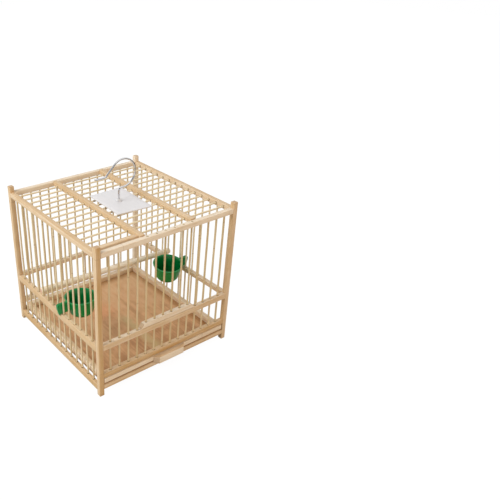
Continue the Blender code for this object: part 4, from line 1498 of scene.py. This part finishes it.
# %% Bend the wire
WIRE_SIDES = 20
HOOK_RISE = 15.8 * MM
HOOK_MOVES = [("bend", 5.0 * MM, -90), ("run", 3.1 * MM), ("bend", 22.1 * MM, 225),
              ("run", 19.7 * MM), ("bend", 7.0 * MM, -45), ("run", 15.6 * MM)]
BEND_STEP = 5


def make_hook():
    """Each run has its length, and each bend its radius and how many degrees it turns."""
    low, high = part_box("hook")
    clear_selection()
    bpy.ops.mesh.primitive_circle_add(vertices=WIRE_SIDES, radius=WIRE_RADIUS, fill_type="NGON",
                                      location=(SHANK.x, SHANK.y, low.z))
    hook = bpy.context.object
    hook.name = "hook_wire"
    bpy.ops.object.transform_apply(location=True, rotation=True, scale=True)
    pick(hook, "FACE")
    spot = Vector((SHANK.x, low.z))
    heading = math.radians(90)
    for kind, size, *degrees in [("run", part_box("roof_plate")[1].z + HOOK_RISE - low.z)] + HOOK_MOVES:
        ahead = Vector((math.cos(heading), math.sin(heading)))
        if kind == "run":
            draw_out((ahead.x * size, 0, ahead.y * size))
            spot += ahead * size
            continue
        turn = math.radians(degrees[0])
        peg = spot + Vector((-ahead.y, ahead.x)) * math.copysign(size, turn)
        bpy.ops.mesh.spin(steps=math.ceil(abs(degrees[0]) / BEND_STEP), angle=turn, axis=(0, 1, 0),
                          center=(peg.x, SHANK.y, peg.y))
        arm = spot - peg
        arm.rotate(Matrix.Rotation(turn, 2))
        spot = peg + arm
        heading += turn
    leave()
    print("Hook reaches", [round(float(value) / MM, 1) for value in points_of(hook).max(0)],
          "and its node", [round(value / MM, 1) for value in high])
    dress(hook, STEEL_FINISH)
    smooth(hook, 50)
    return finish_piece(hook, "hook_assembly", ["hook"])


hook = make_hook()

# %% [markdown]
# ## Floor, light and background
#
# The photograph is a cut-out on pure white. The floor is a pale sheet that keeps the cage's soft
# shadow, and only camera rays see it a little brighter, so it fades into the white world. The cage is
# lit by the even white sky, by light thrown back from the floor, by one large lamp at the upper left,
# which makes the left faces and the tops paler than the fronts, and by a weaker warm lamp in front.
# Two dark cards are there only for the steel to mirror, as a photographer sets them beside chrome.

# %% Stage
SKY = 0.42
FLOOR_SIZE = 9.0
FLOOR_COLOUR = (0.74, 0.715, 0.67)
FLOOR_GLOW = 1.1
FLOOR_GLOW_SHARE = 0.88
LAMP_TARGET = Vector((0, 0, 0.12))
LAMP_DISTANCE = 2.4
LAMP_SIZE = 1.8
CARD_COLOUR = (0.01, 0.01, 0.012)


def make_world():
    """White where it is seen, straight on or mirrored, and dimmer as a light."""
    sky = Finish("white_room", "worlds", "Background")
    bpy.context.scene.world = sky.material
    straight, through, mirrored = (sky.node("ShaderNodeLightPath", f"Is {kind} Ray")
                                   for kind in ("Camera", "Transmission", "Glossy"))
    seen = (straight + through + mirrored).at_most(1.0)
    sky.surface(Color=(1.0, 1.0, 1.0), Strength=SKY + seen * (1 - SKY))


def make_floor():
    finish = Finish("pale_floor")
    finish.surface(Base_Color=FLOOR_COLOUR, Roughness=0.9, Specular_IOR_Level=0.1)
    share = finish.node("ShaderNodeLightPath", "Is Camera Ray") * FLOOR_GLOW_SHARE
    glow = finish.node("ShaderNodeEmission", "Emission", None, {"Strength": FLOOR_GLOW})
    blend = finish.node("ShaderNodeMixShader", "Shader", None,
                        {0: share, 1: Signal(finish, finish.shader.outputs[0]), 2: glow})
    finish.put(finish.tree.nodes["Material Output"].inputs["Surface"], blend)
    clear_selection()
    bpy.ops.mesh.primitive_plane_add(size=FLOOR_SIZE, location=(0, 0, 0))
    floor = dress(bpy.context.object, finish.material)
    floor.name = "pale_floor"


def add_lamp(name, azimuth, elevation, power, colour):
    """A large square soft lamp that faces the cage."""
    toward = away(azimuth, elevation)
    bpy.ops.object.light_add(type="AREA", location=LAMP_TARGET + toward * LAMP_DISTANCE)
    lamp = bpy.context.object
    lamp.name = name
    lamp.data.shape = "SQUARE"
    lamp.data.size = LAMP_SIZE
    lamp.data.energy = power
    lamp.data.color = colour
    lamp.visible_glossy = False
    lamp.rotation_mode = "QUATERNION"
    lamp.rotation_quaternion = toward.to_track_quat("Z", "Y")


def add_card(name, azimuth, elevation, distance, width, height):
    """A dark card round the hook, which only mirror-like surfaces see."""
    toward = away(azimuth, elevation)
    clear_selection()
    bpy.ops.mesh.primitive_plane_add(size=1)
    card = dress(bpy.context.object, CARD_FINISH)
    card.name = name
    turn = toward.to_track_quat("Z", "Y").to_matrix().to_4x4()
    place = Matrix.Translation(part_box("hook")[0] + toward * distance)
    card.data.transform(place @ turn @ Matrix.Diagonal((width, height, 1, 1)))
    for kind in ("camera", "diffuse", "shadow", "transmission"):
        setattr(card, f"visible_{kind}", False)


make_world()
make_floor()
add_lamp("key_lamp", -98, 45, 44.0, (0.975, 0.99, 1.0))
add_lamp("front_lamp", 12, 20, 14.0, (1.0, 0.66, 0.36))
CARD_FINISH = Finish("dark_card").surface(Base_Color=CARD_COLOUR, Roughness=0.9, Specular_IOR_Level=0.0)
add_card("left_card", -66, 38, 1.2, 2.2, 0.85)
add_card("right_card", 48, -10, 0.6, 0.8, 0.4)
bpy.context.scene.view_settings.view_transform = "Standard"
